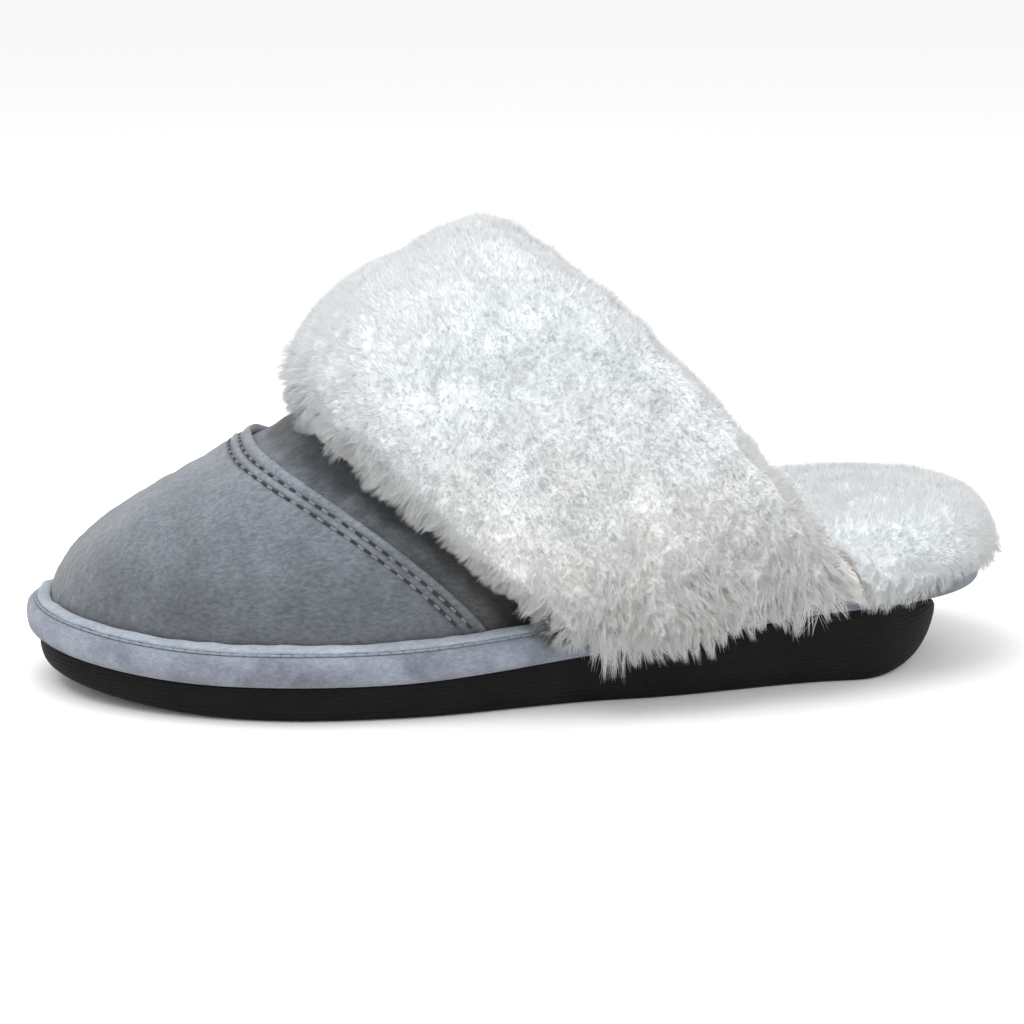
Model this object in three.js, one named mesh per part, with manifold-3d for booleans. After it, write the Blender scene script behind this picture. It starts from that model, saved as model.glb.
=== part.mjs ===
// A fluffy sheepskin house slipper for the left foot: a mule with an open heel, a two-piece suede upper,
// a deep wool cuff round the opening, a sheepskin footbed and a wedge outsole.
// Millimetres. +X runs from the toe to the heel, +Y to the inner side of the foot, +Z up. The origin lies
// on the ground, under the middle of the sole.
//
// The platform is a stack of plates that follow one sole outline. The upper is a set of nested arches, each
// a layer at its own depth below the suede's outer face. Every layer takes its depth from the thicknesses
// of the layers around it and from GAP.
import * as THREE from "three";
import { mergeVertices } from "three/addons/utils/BufferGeometryUtils.js";
import Module from "manifold-3d";

const wasm = await Module();
wasm.setup();

// Sole outline, measured over the rand
const PLATFORM_LENGTH = 270;
const TOE_TIP_Y = 5; // the toe's tip lies this far to the inner side of the middle line
const OUTER_SIDE = { sign: -1, ballFromToe: 97, ballWidth: 52, waistWidth: 45, heelWidth: 38 };
const INNER_SIDE = { sign: 1, ballFromToe: 80, ballWidth: 49, waistWidth: 39, heelWidth: 37 };
const HEEL_SEAT_FROM_BACK = 47; // where the heel's round end begins
const TOE_ROUNDNESS = 2.2; // superellipse exponents of the two ends
const HEEL_ROUNDNESS = 2.1;

// Platform, from the ground up
const SOLE_FOREFOOT = 10;
const SOLE_HEEL = 22;
const WEDGE_START_FROM_TOE = 85;
const WEDGE_END_FROM_BACK = 15;
const SOLE_INSET = 3.5; // the outsole's top edge lies this far inside the rand
const SOLE_BACK_INSET = 18.5; // and this far at the back, where the platform overhangs it
const SOLE_EDGE_ROUND = 5;
const SOLE_WALL = [
  // from the ground up: share of the height, share of the edge's rounding, extra inset at the heel's back
  [0, 1, 5],
  [0.12, 0.55, 2.5],
  [0.35, 0.2, 0],
  [0.6, 0, -3],
  [0.82, 0, -2],
  [1, 0, 1.2],
];
const TOE_LIFT = 5; // the whole platform rises this much at the toe's tip
const TOE_LIFT_LENGTH = 55;
const TOE_SPRING = 6.5; // and the sole's underside this much
const TOE_SPRING_LENGTH = 60;
const HEEL_BEVEL = 5;
const HEEL_BEVEL_LENGTH = 42;
const BOARD_THICKNESS = 1.5;
const FOAM_THICKNESS = 3;
const RAND_THICKNESS = 1.4;
const RAND_CORNER = 2.6; // how far the band's top and bottom corners lie inside its widest line
const RAND_SHOULDER = 0.55; // and the same at a fifth of its height from each
const RAND_TURN_UNDER = 12;
const FOOTBED_SKIN_THICKNESS = 1.4;
const FOOTBED_PILE_TOE = 7;
const FOOTBED_PILE_HEEL = 20;
const FOOTBED_OVERHANG = 3.5; // the heel's wool stands this far outside the rand
const FOOTBED_SPREAD = 17; // over this length, behind the upper
const FOOTBED_WOOL_EDGE = [
  // from the hide up: how far it is drawn in, share of the pile's height
  [3, 0],
  [0, 0.3],
  [1, 0.7],
  [5, 0.93],
  [12, 1],
];

// Tread
const TREAD_DEPTH = 1.6;
const TREAD_GROOVE = 2.6;
const TREAD_PITCH = 9;
const TREAD_WAVE = 3;
const TREAD_WAVE_LENGTH = 34;
const TREAD_MARGIN = 9; // smooth border round the pattern
const SHANK_START_FROM_TOE = 125; // the waist of the sole is left smooth between these two
const SHANK_END_FROM_BACK = 95;

// Upper
const FEATHER_INSET = 7; // the upper meets the platform this far inside the rand
const SUEDE_THICKNESS = 2;
const LINING_PILE = 6;
const VAMP_TOE_HEIGHT = 17.4;
const VAMP_RISE = 0.578; // how fast the ridge climbs from the toe to the instep
const TOE_NOSE_LENGTH = 30;
const TOE_NOSE_ROUNDNESS = 2.3;
const SEAM_TOP_FROM_TOE = 63; // the seam between vamp and collar, at the ridge and at its two feet
const SEAM_FOOT_FROM_TOE = 123;
const SEAM_CURVE = 2.25;
const SEAM_LAP = 14; // the collar runs this far under the vamp
const RIM_TOP_FROM_TOE = 122; // the edge of the opening
const RIM_FOOT_FROM_BACK = 50;
const RIM_CURVE = 2;
const ARCH_FULLNESS = 2.3; // superellipse exponent of a section across the upper

// Cuff
const CUFF_SETBACK = 13; // behind the vamp seam
const CUFF_SKIN_THICKNESS = 1.5;
const CUFF_PILE = 21;
const CUFF_EDGE_PILE = 9;
const CUFF_ROLL = 8; // at the ridge, the wool reaches this far past the edge of the opening
const CUFF_HANG = 9; // at the sides, it hangs this far below the footbed's edge
const CUFF_FULLNESS = 5; // how squarely the wool fills out from its thin edges

// Welt and thread
const WELT_WIDTH = 3.2;
const WELT_HEIGHT = 2.6;
const WELT_CORNER = 0.8;
const THREAD_RADIUS = 0.45;
const THREAD_SIDES = 6;
const STITCH_ROW_FROM_EDGE = 3;
const STITCH_ROW_SPACING = 3.4;

const GAP = 0.3; // clearance between neighbouring pieces

// Mesh steps
const END_STEPS = 9;
const WAIST_STEPS = 10;
const TREAD_STEPS = 14;
const ARCH_STEPS = 18;
// Along the upper, from each named line to the next
const STEPS_AFTER = { toe: 7, linerEnd: 1, lap: 2, seam: 2, cuff: 7, rim: 1 };

const TOE_X = -PLATFORM_LENGTH / 2;
const BACK_X = PLATFORM_LENGTH / 2;
const HEEL_SEAT_X = BACK_X - HEEL_SEAT_FROM_BACK;
const QUARTER_TURN = Math.PI / 2;

const COLOURS = {
  suede: { color: 0x83868a, roughness: 0.95, metalness: 0 },
  rand: { color: 0xa6a9b2, roughness: 0.95, metalness: 0 },
  wool: { color: 0xeeeeea, roughness: 1, metalness: 0 },
  skin: { color: 0xcfc6b8, roughness: 0.9, metalness: 0 },
  rubber: { color: 0x1d1c1b, roughness: 0.7, metalness: 0 },
  foam: { color: 0xd8d2c2, roughness: 0.9, metalness: 0 },
  board: { color: 0x9a7b57, roughness: 0.85, metalness: 0 },
  thread: { color: 0x4a4b4d, roughness: 0.7, metalness: 0 },
};

const clamp01 = (value) => THREE.MathUtils.clamp(value, 0, 1);
const smooth = THREE.MathUtils.smoothstep;
const { lerp } = THREE.MathUtils;

// ---------------------------------------------------------------- closed meshes

// A closed geometry from points and faces, with its faces turned outwards.
function closedGeometry(points, triangles) {
  let sixVolumes = 0;
  for (const [a, b, c] of triangles) {
    sixVolumes += new THREE.Vector3(...points[a]).dot(
      new THREE.Vector3(...points[b]).cross(new THREE.Vector3(...points[c])),
    );
  }
  const index = triangles.flatMap(([a, b, c]) => (sixVolumes < 0 ? [a, c, b] : [a, b, c]));
  const geometry = new THREE.BufferGeometry();
  geometry.setAttribute("position", new THREE.Float32BufferAttribute(points.flat(), 3));
  geometry.setIndex(index);
  geometry.computeVertexNormals();
  return geometry;
}

const quad = (a, b, c, d) => [
  [a, b, c],
  [a, c, d],
];

// Two grids of points, grid[row][column], joined along their borders. A row of equal points closes to a pole.
function shellGeometry(outer, inner) {
  const rows = outer.length;
  const columns = outer[0].length;
  const points = [];
  const isPole = (row) => row[0].every((value, axis) => value === row[columns - 1][axis]);
  const place = (grid) =>
    grid.map((row) => {
      if (isPole(row)) {
        points.push(row[0]);
        return row.map(() => points.length - 1);
      }
      return row.map((point) => points.push(point) - 1);
    });
  const outside = place(outer);
  const inside = place(inner);
  const triangles = [];
  for (let r = 0; r + 1 < rows; r++) {
    for (let c = 0; c + 1 < columns; c++) {
      triangles.push(...quad(outside[r][c], outside[r][c + 1], outside[r + 1][c + 1], outside[r + 1][c]));
      triangles.push(...quad(inside[r][c], inside[r + 1][c], inside[r + 1][c + 1], inside[r][c + 1]));
    }
    const last = columns - 1;
    triangles.push(...quad(outside[r][0], outside[r + 1][0], inside[r + 1][0], inside[r][0]));
    triangles.push(...quad(outside[r][last], inside[r][last], inside[r + 1][last], outside[r + 1][last]));
  }
  for (let c = 0; c + 1 < columns; c++) {
    const last = rows - 1;
    triangles.push(...quad(outside[0][c], inside[0][c], inside[0][c + 1], outside[0][c + 1]));
    triangles.push(...quad(outside[last][c], outside[last][c + 1], inside[last][c + 1], inside[last][c]));
  }
  const real = triangles.filter(([a, b, c]) => a !== b && b !== c && a !== c);
  return closedGeometry(points, real);
}

// ---------------------------------------------------------------- sole outline

// A quarter of a superellipse: how wide it still is at a share of its length.
const roundOff = (share, exponent) => (1 - clamp01(share) ** exponent) ** (1 / exponent);

// A smooth curve from one width to another, level at both ends.
const blend = (from, to, share) => lerp(from, to, smooth(share, 0, 1));

// Half the width on one side at x, for an outline drawn in by inset all round.
function halfWidth(side, x, inset) {
  const ballX = TOE_X + side.ballFromToe;
  const waistX = (ballX + HEEL_SEAT_X) / 2;
  if (x < ballX) {
    return (side.ballWidth - inset) * roundOff((ballX - x) / (ballX - TOE_X - inset), TOE_ROUNDNESS);
  }
  if (x > HEEL_SEAT_X) {
    const share = (x - HEEL_SEAT_X) / (HEEL_SEAT_FROM_BACK - inset);
    return (side.heelWidth - inset) * roundOff(share, HEEL_ROUNDNESS);
  }
  const width =
    x < waistX
      ? blend(side.ballWidth, side.waistWidth, (x - ballX) / (waistX - ballX))
      : blend(side.waistWidth, side.heelWidth, (x - waistX) / (HEEL_SEAT_X - waistX));
  return width - inset;
}

// The middle line leaves y = 0 towards the toe's tip.
function middleY(x) {
  const ballX = TOE_X + INNER_SIDE.ballFromToe;
  return TOE_TIP_Y * smooth((ballX - x) / (ballX - TOE_X), 0, 1);
}

const edgeY = (side, x, inset) => middleY(x) + side.sign * halfWidth(side, x, inset);

// Stations along the length: shares of a quarter turn at both ends, where the outline turns fast.
function stations() {
  const toeSpan = INNER_SIDE.ballFromToe;
  const waistStart = TOE_X + toeSpan;
  const steps = (count, station) => Array.from({ length: count }, (_, i) => station(i / count));
  return [
    ...steps(END_STEPS, (share) => TOE_X + toeSpan * (1 - Math.cos(share * QUARTER_TURN))),
    ...steps(WAIST_STEPS, (share) => waistStart + (HEEL_SEAT_X - waistStart) * share),
    ...steps(END_STEPS, (share) => HEEL_SEAT_X + HEEL_SEAT_FROM_BACK * Math.sin(share * QUARTER_TURN)),
    BACK_X,
  ];
}

// The outline as a ring of points: up the outer side from the back to the toe, and down the inner side.
// inset may depend on x. Stations of every ring match one to one. The station nearest to stop moves onto it.
function outlineRing(inset, height, stop) {
  const insetAt = typeof inset === "function" ? inset : () => inset;
  const toeInset = insetAt(TOE_X);
  const backInset = insetAt(BACK_X);
  const list = stations().map((x) => {
    if (x < 0) return TOE_X + toeInset + ((x - TOE_X) * (-TOE_X - toeInset)) / -TOE_X;
    return (x * (BACK_X - backInset)) / BACK_X;
  });
  if (stop !== undefined) {
    const distances = list.map((x) => Math.abs(x - stop));
    list[distances.indexOf(Math.min(...distances))] = stop;
  }
  const side = (edge) => list.slice(1, -1).map((x) => [x, edgeY(edge, x, insetAt(x)), height(x)]);
  const end = (x) => [x, middleY(x), height(x)];
  return [end(list.at(-1)), ...side(OUTER_SIDE).reverse(), end(list[0]), ...side(INNER_SIDE)];
}

// A plate whose rim runs through these levels, each { inset, height }, closed by a flat rung per station.
function plateGeometry(levels, stop) {
  const rings = levels.map(({ inset, height }) => outlineRing(inset, height, stop));
  const count = rings[0].length;
  const points = rings.flat();
  const triangles = [];
  for (let level = 0; level + 1 < rings.length; level++) {
    for (let i = 0; i < count; i++) {
      const next = (i + 1) % count;
      const low = level * count;
      triangles.push(...quad(low + i, low + next, low + count + next, low + count + i));
    }
  }
  const half = count / 2;
  const cap = (first, flip) => {
    for (let i = 0; i < half; i++) {
      const [a, b] = [first + i, first + i + 1];
      const [c, d] = [first + ((count - i - 1) % count), first + ((count - i) % count)];
      const faces = quad(a, b, c, d).filter(([p, q, r]) => p !== q && q !== r && p !== r);
      triangles.push(...faces.map(([p, q, r]) => (flip ? [p, r, q] : [p, q, r])));
    }
  };
  cap(0, true);
  cap((rings.length - 1) * count, false);
  return closedGeometry(points, triangles);
}

// A band that follows the whole outline. section holds closed { inset, height } corners.
function bandGeometry(section) {
  const rings = section.map(({ inset, height }) => outlineRing(inset, height));
  const count = rings[0].length;
  const points = rings.flat();
  const triangles = [];
  for (let corner = 0; corner < rings.length; corner++) {
    const here = corner * count;
    const there = ((corner + 1) % rings.length) * count;
    for (let i = 0; i < count; i++) {
      const next = (i + 1) % count;
      triangles.push(...quad(here + i, here + next, there + next, there + i));
    }
  }
  return closedGeometry(points, triangles);
}

// ---------------------------------------------------------------- heights of the platform

const soleTop = (x) =>
  blend(
    SOLE_FOREFOOT,
    SOLE_HEEL,
    (x - (TOE_X + WEDGE_START_FROM_TOE)) / (PLATFORM_LENGTH - WEDGE_START_FROM_TOE - WEDGE_END_FROM_BACK),
  ) +
  TOE_LIFT * clamp01((TOE_X + TOE_LIFT_LENGTH - x) / TOE_LIFT_LENGTH) ** 2;
const soleBottom = (x) =>
  TOE_SPRING * clamp01((TOE_X + TOE_SPRING_LENGTH - x) / TOE_SPRING_LENGTH) ** 2 +
  HEEL_BEVEL * clamp01((x - (BACK_X - HEEL_BEVEL_LENGTH)) / HEEL_BEVEL_LENGTH) ** 2;
const underBoard = (x) => soleTop(x) + GAP + RAND_THICKNESS;
const boardTop = (x) => underBoard(x) + GAP + BOARD_THICKNESS;
const foamTop = (x) => boardTop(x) + GAP + FOAM_THICKNESS;
const bedTop = (x) => foamTop(x) + GAP + Math.max(FOOTBED_SKIN_THICKNESS, RAND_THICKNESS);
const upperFoot = (x) => bedTop(x) + GAP;

// ---------------------------------------------------------------- arches of the upper

const UPPER_TOE_X = TOE_X + FEATHER_INSET;
const LEG_X = BACK_X - RIM_FOOT_FROM_BACK; // the back end of the upper's two feet

const COLLAR_DEPTH = SUEDE_THICKNESS + GAP; // the collar lies under the vamp
const COLLAR_LINING_DEPTH = COLLAR_DEPTH + SUEDE_THICKNESS + GAP;
const UPPER_STACK = COLLAR_LINING_DEPTH + LINING_PILE + GAP;
const CUFF_SKIN_DEPTH = COLLAR_DEPTH - GAP - CUFF_SKIN_THICKNESS;
const CUFF_WOOL_DEPTH = CUFF_SKIN_DEPTH - GAP;
const CUFF_LIFT = WELT_HEIGHT + 2 * GAP;

// A line across the upper: at the ridge it is at top, at both feet it is at foot. turn is 0 at the ridge.
const curveAlong = (top, foot, turn, power) => top + (foot - top) * Math.abs(turn / QUARTER_TURN) ** power;
const seamX = (turn) => curveAlong(TOE_X + SEAM_TOP_FROM_TOE, TOE_X + SEAM_FOOT_FROM_TOE, turn, SEAM_CURVE);
const rimX = (turn) => curveAlong(TOE_X + RIM_TOP_FROM_TOE, LEG_X, turn, RIM_CURVE);

// The named lines across the upper, in their order from the toe.
const LINES = {
  toe: (turn, depth) => UPPER_TOE_X + depth,
  linerEnd: (turn) => seamX(turn) - SEAM_LAP - 2 * GAP,
  lap: (turn) => seamX(turn) - SEAM_LAP,
  seam: seamX,
  cuff: (turn) => seamX(turn) + CUFF_SETBACK,
  rim: rimX,
  roll: (turn) => rimX(turn) + CUFF_ROLL * Math.cos(turn),
};

// The mesh lines between two named lines. All layers share them, so that they nest without touching.
function meshLines(from, to) {
  const names = Object.keys(LINES);
  const lines = [LINES[from]];
  for (let i = names.indexOf(from); names[i] !== to; i++) {
    const steps = STEPS_AFTER[names[i]];
    const [here, next] = [LINES[names[i]], LINES[names[i + 1]]];
    for (let step = 1; step <= steps; step++) {
      const share = i === 0 ? 1 - Math.cos((step / steps) * QUARTER_TURN) : step / steps;
      lines.push((turn, depth) => lerp(here(turn, depth), next(turn, depth), share));
    }
  }
  return lines;
}

// How high the ridge of a layer stands over the platform. depth is how far the layer lies under the suede.
function ridgeHeight(x, depth) {
  const share = clamp01((x - UPPER_TOE_X - depth) / TOE_NOSE_LENGTH);
  const nose = roundOff(1 - share, TOE_NOSE_ROUNDNESS);
  return (VAMP_TOE_HEIGHT - depth + VAMP_RISE * Math.max(0, x - UPPER_TOE_X)) * nose;
}

// A point of a layer: half a superellipse across the upper, standing on the platform.
function archPoint(x, turn, depth) {
  const full = (value) => Math.sign(value) * Math.abs(value) ** (2 / ARCH_FULLNESS);
  const outer = edgeY(OUTER_SIDE, x, FEATHER_INSET + depth);
  const inner = edgeY(INNER_SIDE, x, FEATHER_INSET + depth);
  const y = (outer + inner) / 2 + ((inner - outer) / 2) * full(Math.sin(turn));
  return [x, y, upperFoot(x) + ridgeHeight(x, depth) * full(Math.cos(turn))];
}

// Turns from one foot of the arch to the other. lift keeps the feet clear of the platform.
function archTurns(lift = 0) {
  const lowest = ridgeHeight(TOE_X + SEAM_FOOT_FROM_TOE, 0);
  const most = Math.acos(clamp01(lift / lowest) ** (ARCH_FULLNESS / 2));
  return Array.from({ length: ARCH_STEPS + 1 }, (_, i) => most * ((2 * i) / ARCH_STEPS - 1));
}

// A layer of the upper between two named lines and two depths. One that starts at the toe closes over it.
function layerGeometry(outerDepth, innerDepth, from, to, lift = 0) {
  const grid = (depth) =>
    meshLines(from, to).map((line, i) =>
      archTurns(lift).map((turn) => {
        const x = line(turn, depth);
        return from === "toe" && i === 0 ? [x, middleY(x), upperFoot(x)] : archPoint(x, turn, depth);
      }),
    );
  return shellGeometry(grid(outerDepth), grid(innerDepth));
}

// ---------------------------------------------------------------- the pieces

// A thread through these points.
function threadGeometry(points) {
  const path = new THREE.CatmullRomCurve3(points.map((point) => new THREE.Vector3(...point)));
  const corner = (_, i) => {
    const angle = (i / THREAD_SIDES) * 2 * Math.PI;
    return new THREE.Vector2(THREAD_RADIUS * Math.cos(angle), THREAD_RADIUS * Math.sin(angle));
  };
  const section = new THREE.Shape(Array.from({ length: THREAD_SIDES }, corner));
  return new THREE.ExtrudeGeometry(section, { steps: points.length * 2, extrudePath: path });
}

// A row of lockstitch across the vamp, at a distance in front of the seam's edge.
function vampStitchRow(fromEdge) {
  const depth = -(GAP + THREAD_RADIUS);
  const clearOfWelt = archTurns(WELT_HEIGHT + 2 * GAP + THREAD_RADIUS);
  return threadGeometry(clearOfWelt.map((turn) => archPoint(seamX(turn) - fromEdge, turn, depth)));
}

// Points beside the upper, from its outer foot round the toe to its inner foot.
function besideUpper(inset, height) {
  const ring = outlineRing(inset, (x) => bedTop(x) + height, LEG_X);
  return ring.filter(([x]) => x <= LEG_X);
}

// The strip round the upper's foot, from one leg round the toe to the other, with a cap at each end.
function weltGeometry() {
  const near = FEATHER_INSET - GAP;
  const far = near - WELT_WIDTH;
  const section = [
    [near, GAP],
    [far, GAP],
    [far, GAP + WELT_HEIGHT - WELT_CORNER],
    [far + WELT_CORNER, GAP + WELT_HEIGHT],
    [near - WELT_CORNER, GAP + WELT_HEIGHT],
    [near, GAP + WELT_HEIGHT - WELT_CORNER],
  ];
  const lines = section.map(([inset, height]) => besideUpper(inset, height));
  const length = Math.min(...lines.map((line) => line.length));
  const points = lines.flatMap((line) => line.slice(0, length));
  const triangles = [];
  lines.forEach((_, s) => {
    const here = s * length;
    const there = ((s + 1) % lines.length) * length;
    for (let i = 0; i + 1 < length; i++) {
      triangles.push(...quad(here + i, here + i + 1, there + i + 1, there + i));
    }
  });
  for (let s = 1; s + 1 < lines.length; s++) {
    triangles.push([0, s * length, (s + 1) * length]);
    triangles.push([length - 1, (s + 2) * length - 1, (s + 1) * length - 1]);
  }
  return closedGeometry(points, triangles);
}

const toManifold = (geometry) => {
  const bare = new THREE.BufferGeometry();
  bare.setAttribute("position", geometry.attributes.position);
  bare.setIndex(geometry.index);
  const merged = mergeVertices(bare, 1e-3);
  return new wasm.Manifold(
    new wasm.Mesh({
      numProp: 3,
      vertProperties: merged.attributes.position.array,
      triVerts: new Uint32Array(merged.index.array),
    }),
  );
};

const fromManifold = (solid) => {
  const mesh = solid.getMesh();
  const geometry = new THREE.BufferGeometry();
  geometry.setAttribute("position", new THREE.BufferAttribute(mesh.vertProperties, 3));
  geometry.setIndex(new THREE.BufferAttribute(mesh.triVerts, 1));
  geometry.computeVertexNormals();
  return geometry;
};

// A wavy bar across the sole, as wide as the smooth border allows, that cuts one groove.
function treadCutter(x) {
  const outer = edgeY(OUTER_SIDE, x, SOLE_INSET + SOLE_EDGE_ROUND + TREAD_MARGIN);
  const inner = edgeY(INNER_SIDE, x, SOLE_INSET + SOLE_EDGE_ROUND + TREAD_MARGIN);
  const bar = new THREE.BoxGeometry(TREAD_GROOVE, inner - outer, 2 * TREAD_DEPTH, 1, TREAD_STEPS);
  const position = bar.attributes.position;
  for (let i = 0; i < position.count; i++) {
    const y = position.getY(i) + (inner + outer) / 2;
    const wave = TREAD_WAVE * Math.sin((2 * Math.PI * y) / TREAD_WAVE_LENGTH);
    position.setXYZ(i, position.getX(i) + x + wave, y, position.getZ(i));
  }
  return bar;
}

function outsoleGeometry() {
  const backwards = (x) => smooth(x, BACK_X - HEEL_BEVEL_LENGTH, BACK_X);
  const topInset = (x, extra) => lerp(SOLE_INSET, SOLE_BACK_INSET + extra, backwards(x));
  const wall = ([share, rounding, extra]) => ({
    inset: (x) => topInset(x, extra) + rounding * SOLE_EDGE_ROUND,
    height: (x) => lerp(soleBottom(x), soleTop(x), share),
  });
  const fields = [
    [TOE_X + TOE_SPRING_LENGTH, TOE_X + SHANK_START_FROM_TOE],
    [BACK_X - SHANK_END_FROM_BACK, BACK_X - HEEL_BEVEL_LENGTH],
  ];
  let sole = toManifold(plateGeometry(SOLE_WALL.map(wall)));
  for (const [from, to] of fields) {
    for (let x = from; x <= to; x += TREAD_PITCH) sole = sole.subtract(toManifold(treadCutter(x)));
  }
  return fromManifold(sole);
}

// A band of suede in a C section: turned under the platform, round its edge and on to the upper's foot.
function randGeometry() {
  const low = (x) => soleTop(x) + GAP;
  const high = bedTop;
  const at = (share) => (x) => low(x) + (high(x) - low(x)) * share;
  const inside = RAND_THICKNESS + RAND_CORNER;
  return bandGeometry([
    { inset: RAND_TURN_UNDER, height: low },
    { inset: RAND_CORNER, height: low },
    { inset: RAND_SHOULDER, height: at(0.2) },
    { inset: 0, height: at(0.5) },
    { inset: RAND_SHOULDER, height: at(0.8) },
    { inset: RAND_CORNER, height: high },
    { inset: FEATHER_INSET - GAP / 2, height: high },
    { inset: FEATHER_INSET - GAP / 2, height: (x) => high(x) - RAND_THICKNESS },
    { inset: inside, height: (x) => high(x) - RAND_THICKNESS },
    { inset: RAND_THICKNESS, height: at(0.5) },
    { inset: inside, height: (x) => low(x) + RAND_THICKNESS },
    { inset: RAND_TURN_UNDER, height: (x) => low(x) + RAND_THICKNESS },
  ]);
}

const CORE_INSET = RAND_THICKNESS + RAND_CORNER + GAP;
const flatPlate = (inset, bottom, top) =>
  plateGeometry([
    { inset, height: bottom },
    { inset, height: top },
  ]);

// The footbed's wool fills the upper between its linings, and behind the upper it spreads over the rand.
function footbedWoolGeometry() {
  const start = LEG_X + 2 * GAP;
  const between = FEATHER_INSET + UPPER_STACK;
  const inset = (x) => between - (between + FOOTBED_OVERHANG) * smooth(x, start, start + FOOTBED_SPREAD);
  const pile = (x) => blend(FOOTBED_PILE_TOE, FOOTBED_PILE_HEEL, x / LEG_X);
  const level = ([drawnIn, share]) => ({
    inset: (x) => inset(x) + drawnIn,
    height: (x) => bedTop(x) + GAP + pile(x) * share,
  });
  return plateGeometry(FOOTBED_WOOL_EDGE.map(level), start);
}

// How thick the cuff's wool is: thin at both edges and full between them.
function cuffPile(share) {
  const fullness = Math.sqrt(1 - Math.abs(2 * share - 1) ** CUFF_FULLNESS);
  return lerp(CUFF_EDGE_PILE, CUFF_PILE, fullness);
}

// The cuff's wool lies over its skin, and at both sides it hangs past the rand.
function cuffWoolGeometry() {
  const lines = meshLines("cuff", "roll");
  const turns = archTurns(CUFF_LIFT);
  const skirt = (line, side, pile) => {
    const x = line(turns.at(-1), 0);
    const far = edgeY(side, x, FEATHER_INSET + CUFF_WOOL_DEPTH - pile);
    const near = edgeY(side, x, -3 * GAP);
    const over = upperFoot(x) + CUFF_LIFT;
    const low = bedTop(x) - CUFF_HANG;
    return {
      outer: [[x, far, bedTop(x)], [x, (far + near) / 2, low]],
      inner: [[x, near, over], [x, near, low]],
    };
  };
  const grid = (surface) =>
    lines.map((line, i) => {
      const pile = cuffPile(i / (lines.length - 1));
      const depth = surface === "outer" ? CUFF_WOOL_DEPTH - pile : CUFF_WOOL_DEPTH;
      const arch = turns.map((turn) => archPoint(line(turn, 0), turn, depth));
      const left = skirt(line, OUTER_SIDE, pile)[surface];
      const right = skirt(line, INNER_SIDE, pile)[surface];
      return [...left.reverse(), ...arch, ...right];
    });
  return shellGeometry(grid("outer"), grid("inner"));
}

const rimThread = () => {
  const behindRim = 2 * GAP + THREAD_RADIUS;
  const point = (turn) => archPoint(rimX(turn) + behindRim, turn, COLLAR_DEPTH);
  return threadGeometry(archTurns(CUFF_LIFT).map(point));
};

const weltThread = () => {
  const inset = FEATHER_INSET - GAP - WELT_WIDTH - GAP - THREAD_RADIUS;
  return threadGeometry(besideUpper(inset, GAP + THREAD_RADIUS));
};

const pieces = [
  ["outsole", outsoleGeometry(), "rubber"],
  ["bottom_filler", flatPlate(RAND_TURN_UNDER + GAP, (x) => soleTop(x) + GAP, underBoard), "foam"],
  ["insole_board", flatPlate(CORE_INSET, (x) => underBoard(x) + GAP, boardTop), "board"],
  ["cushion_foam", flatPlate(CORE_INSET, (x) => boardTop(x) + GAP, foamTop), "foam"],
  ["rand", randGeometry(), "rand"],
  ["footbed_skin", flatPlate(FEATHER_INSET + GAP / 2, (x) => foamTop(x) + GAP, bedTop), "skin"],
  ["footbed_wool", footbedWoolGeometry(), "wool"],
  ["welt_strip", weltGeometry(), "rand"],
  ["welt_thread", weltThread(), "thread"],
  ["vamp_suede", layerGeometry(0, SUEDE_THICKNESS, "toe", "seam"), "suede"],
  ["vamp_thread_rear", vampStitchRow(STITCH_ROW_FROM_EDGE), "thread"],
  ["vamp_thread_front", vampStitchRow(STITCH_ROW_FROM_EDGE + STITCH_ROW_SPACING), "thread"],
  ["collar_suede", layerGeometry(COLLAR_DEPTH, COLLAR_DEPTH + SUEDE_THICKNESS, "lap", "rim"), "suede"],
  ["toe_lining_wool", layerGeometry(COLLAR_DEPTH, COLLAR_DEPTH + LINING_PILE, "toe", "linerEnd"), "wool"],
  ["collar_lining_wool", layerGeometry(COLLAR_LINING_DEPTH, UPPER_STACK - GAP, "lap", "rim"), "wool"],
  ["cuff_skin", layerGeometry(CUFF_SKIN_DEPTH, COLLAR_DEPTH - GAP, "cuff", "rim", CUFF_LIFT), "skin"],
  ["cuff_wool", cuffWoolGeometry(), "wool"],
  ["rim_thread", rimThread(), "thread"],
];

const slipper = new THREE.Group();
for (const [name, geometry, finish] of pieces) {
  const mesh = new THREE.Mesh(geometry, new THREE.MeshStandardMaterial(COLOURS[finish]));
  mesh.name = name;
  slipper.add(mesh);
}

export default slipper;
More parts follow.
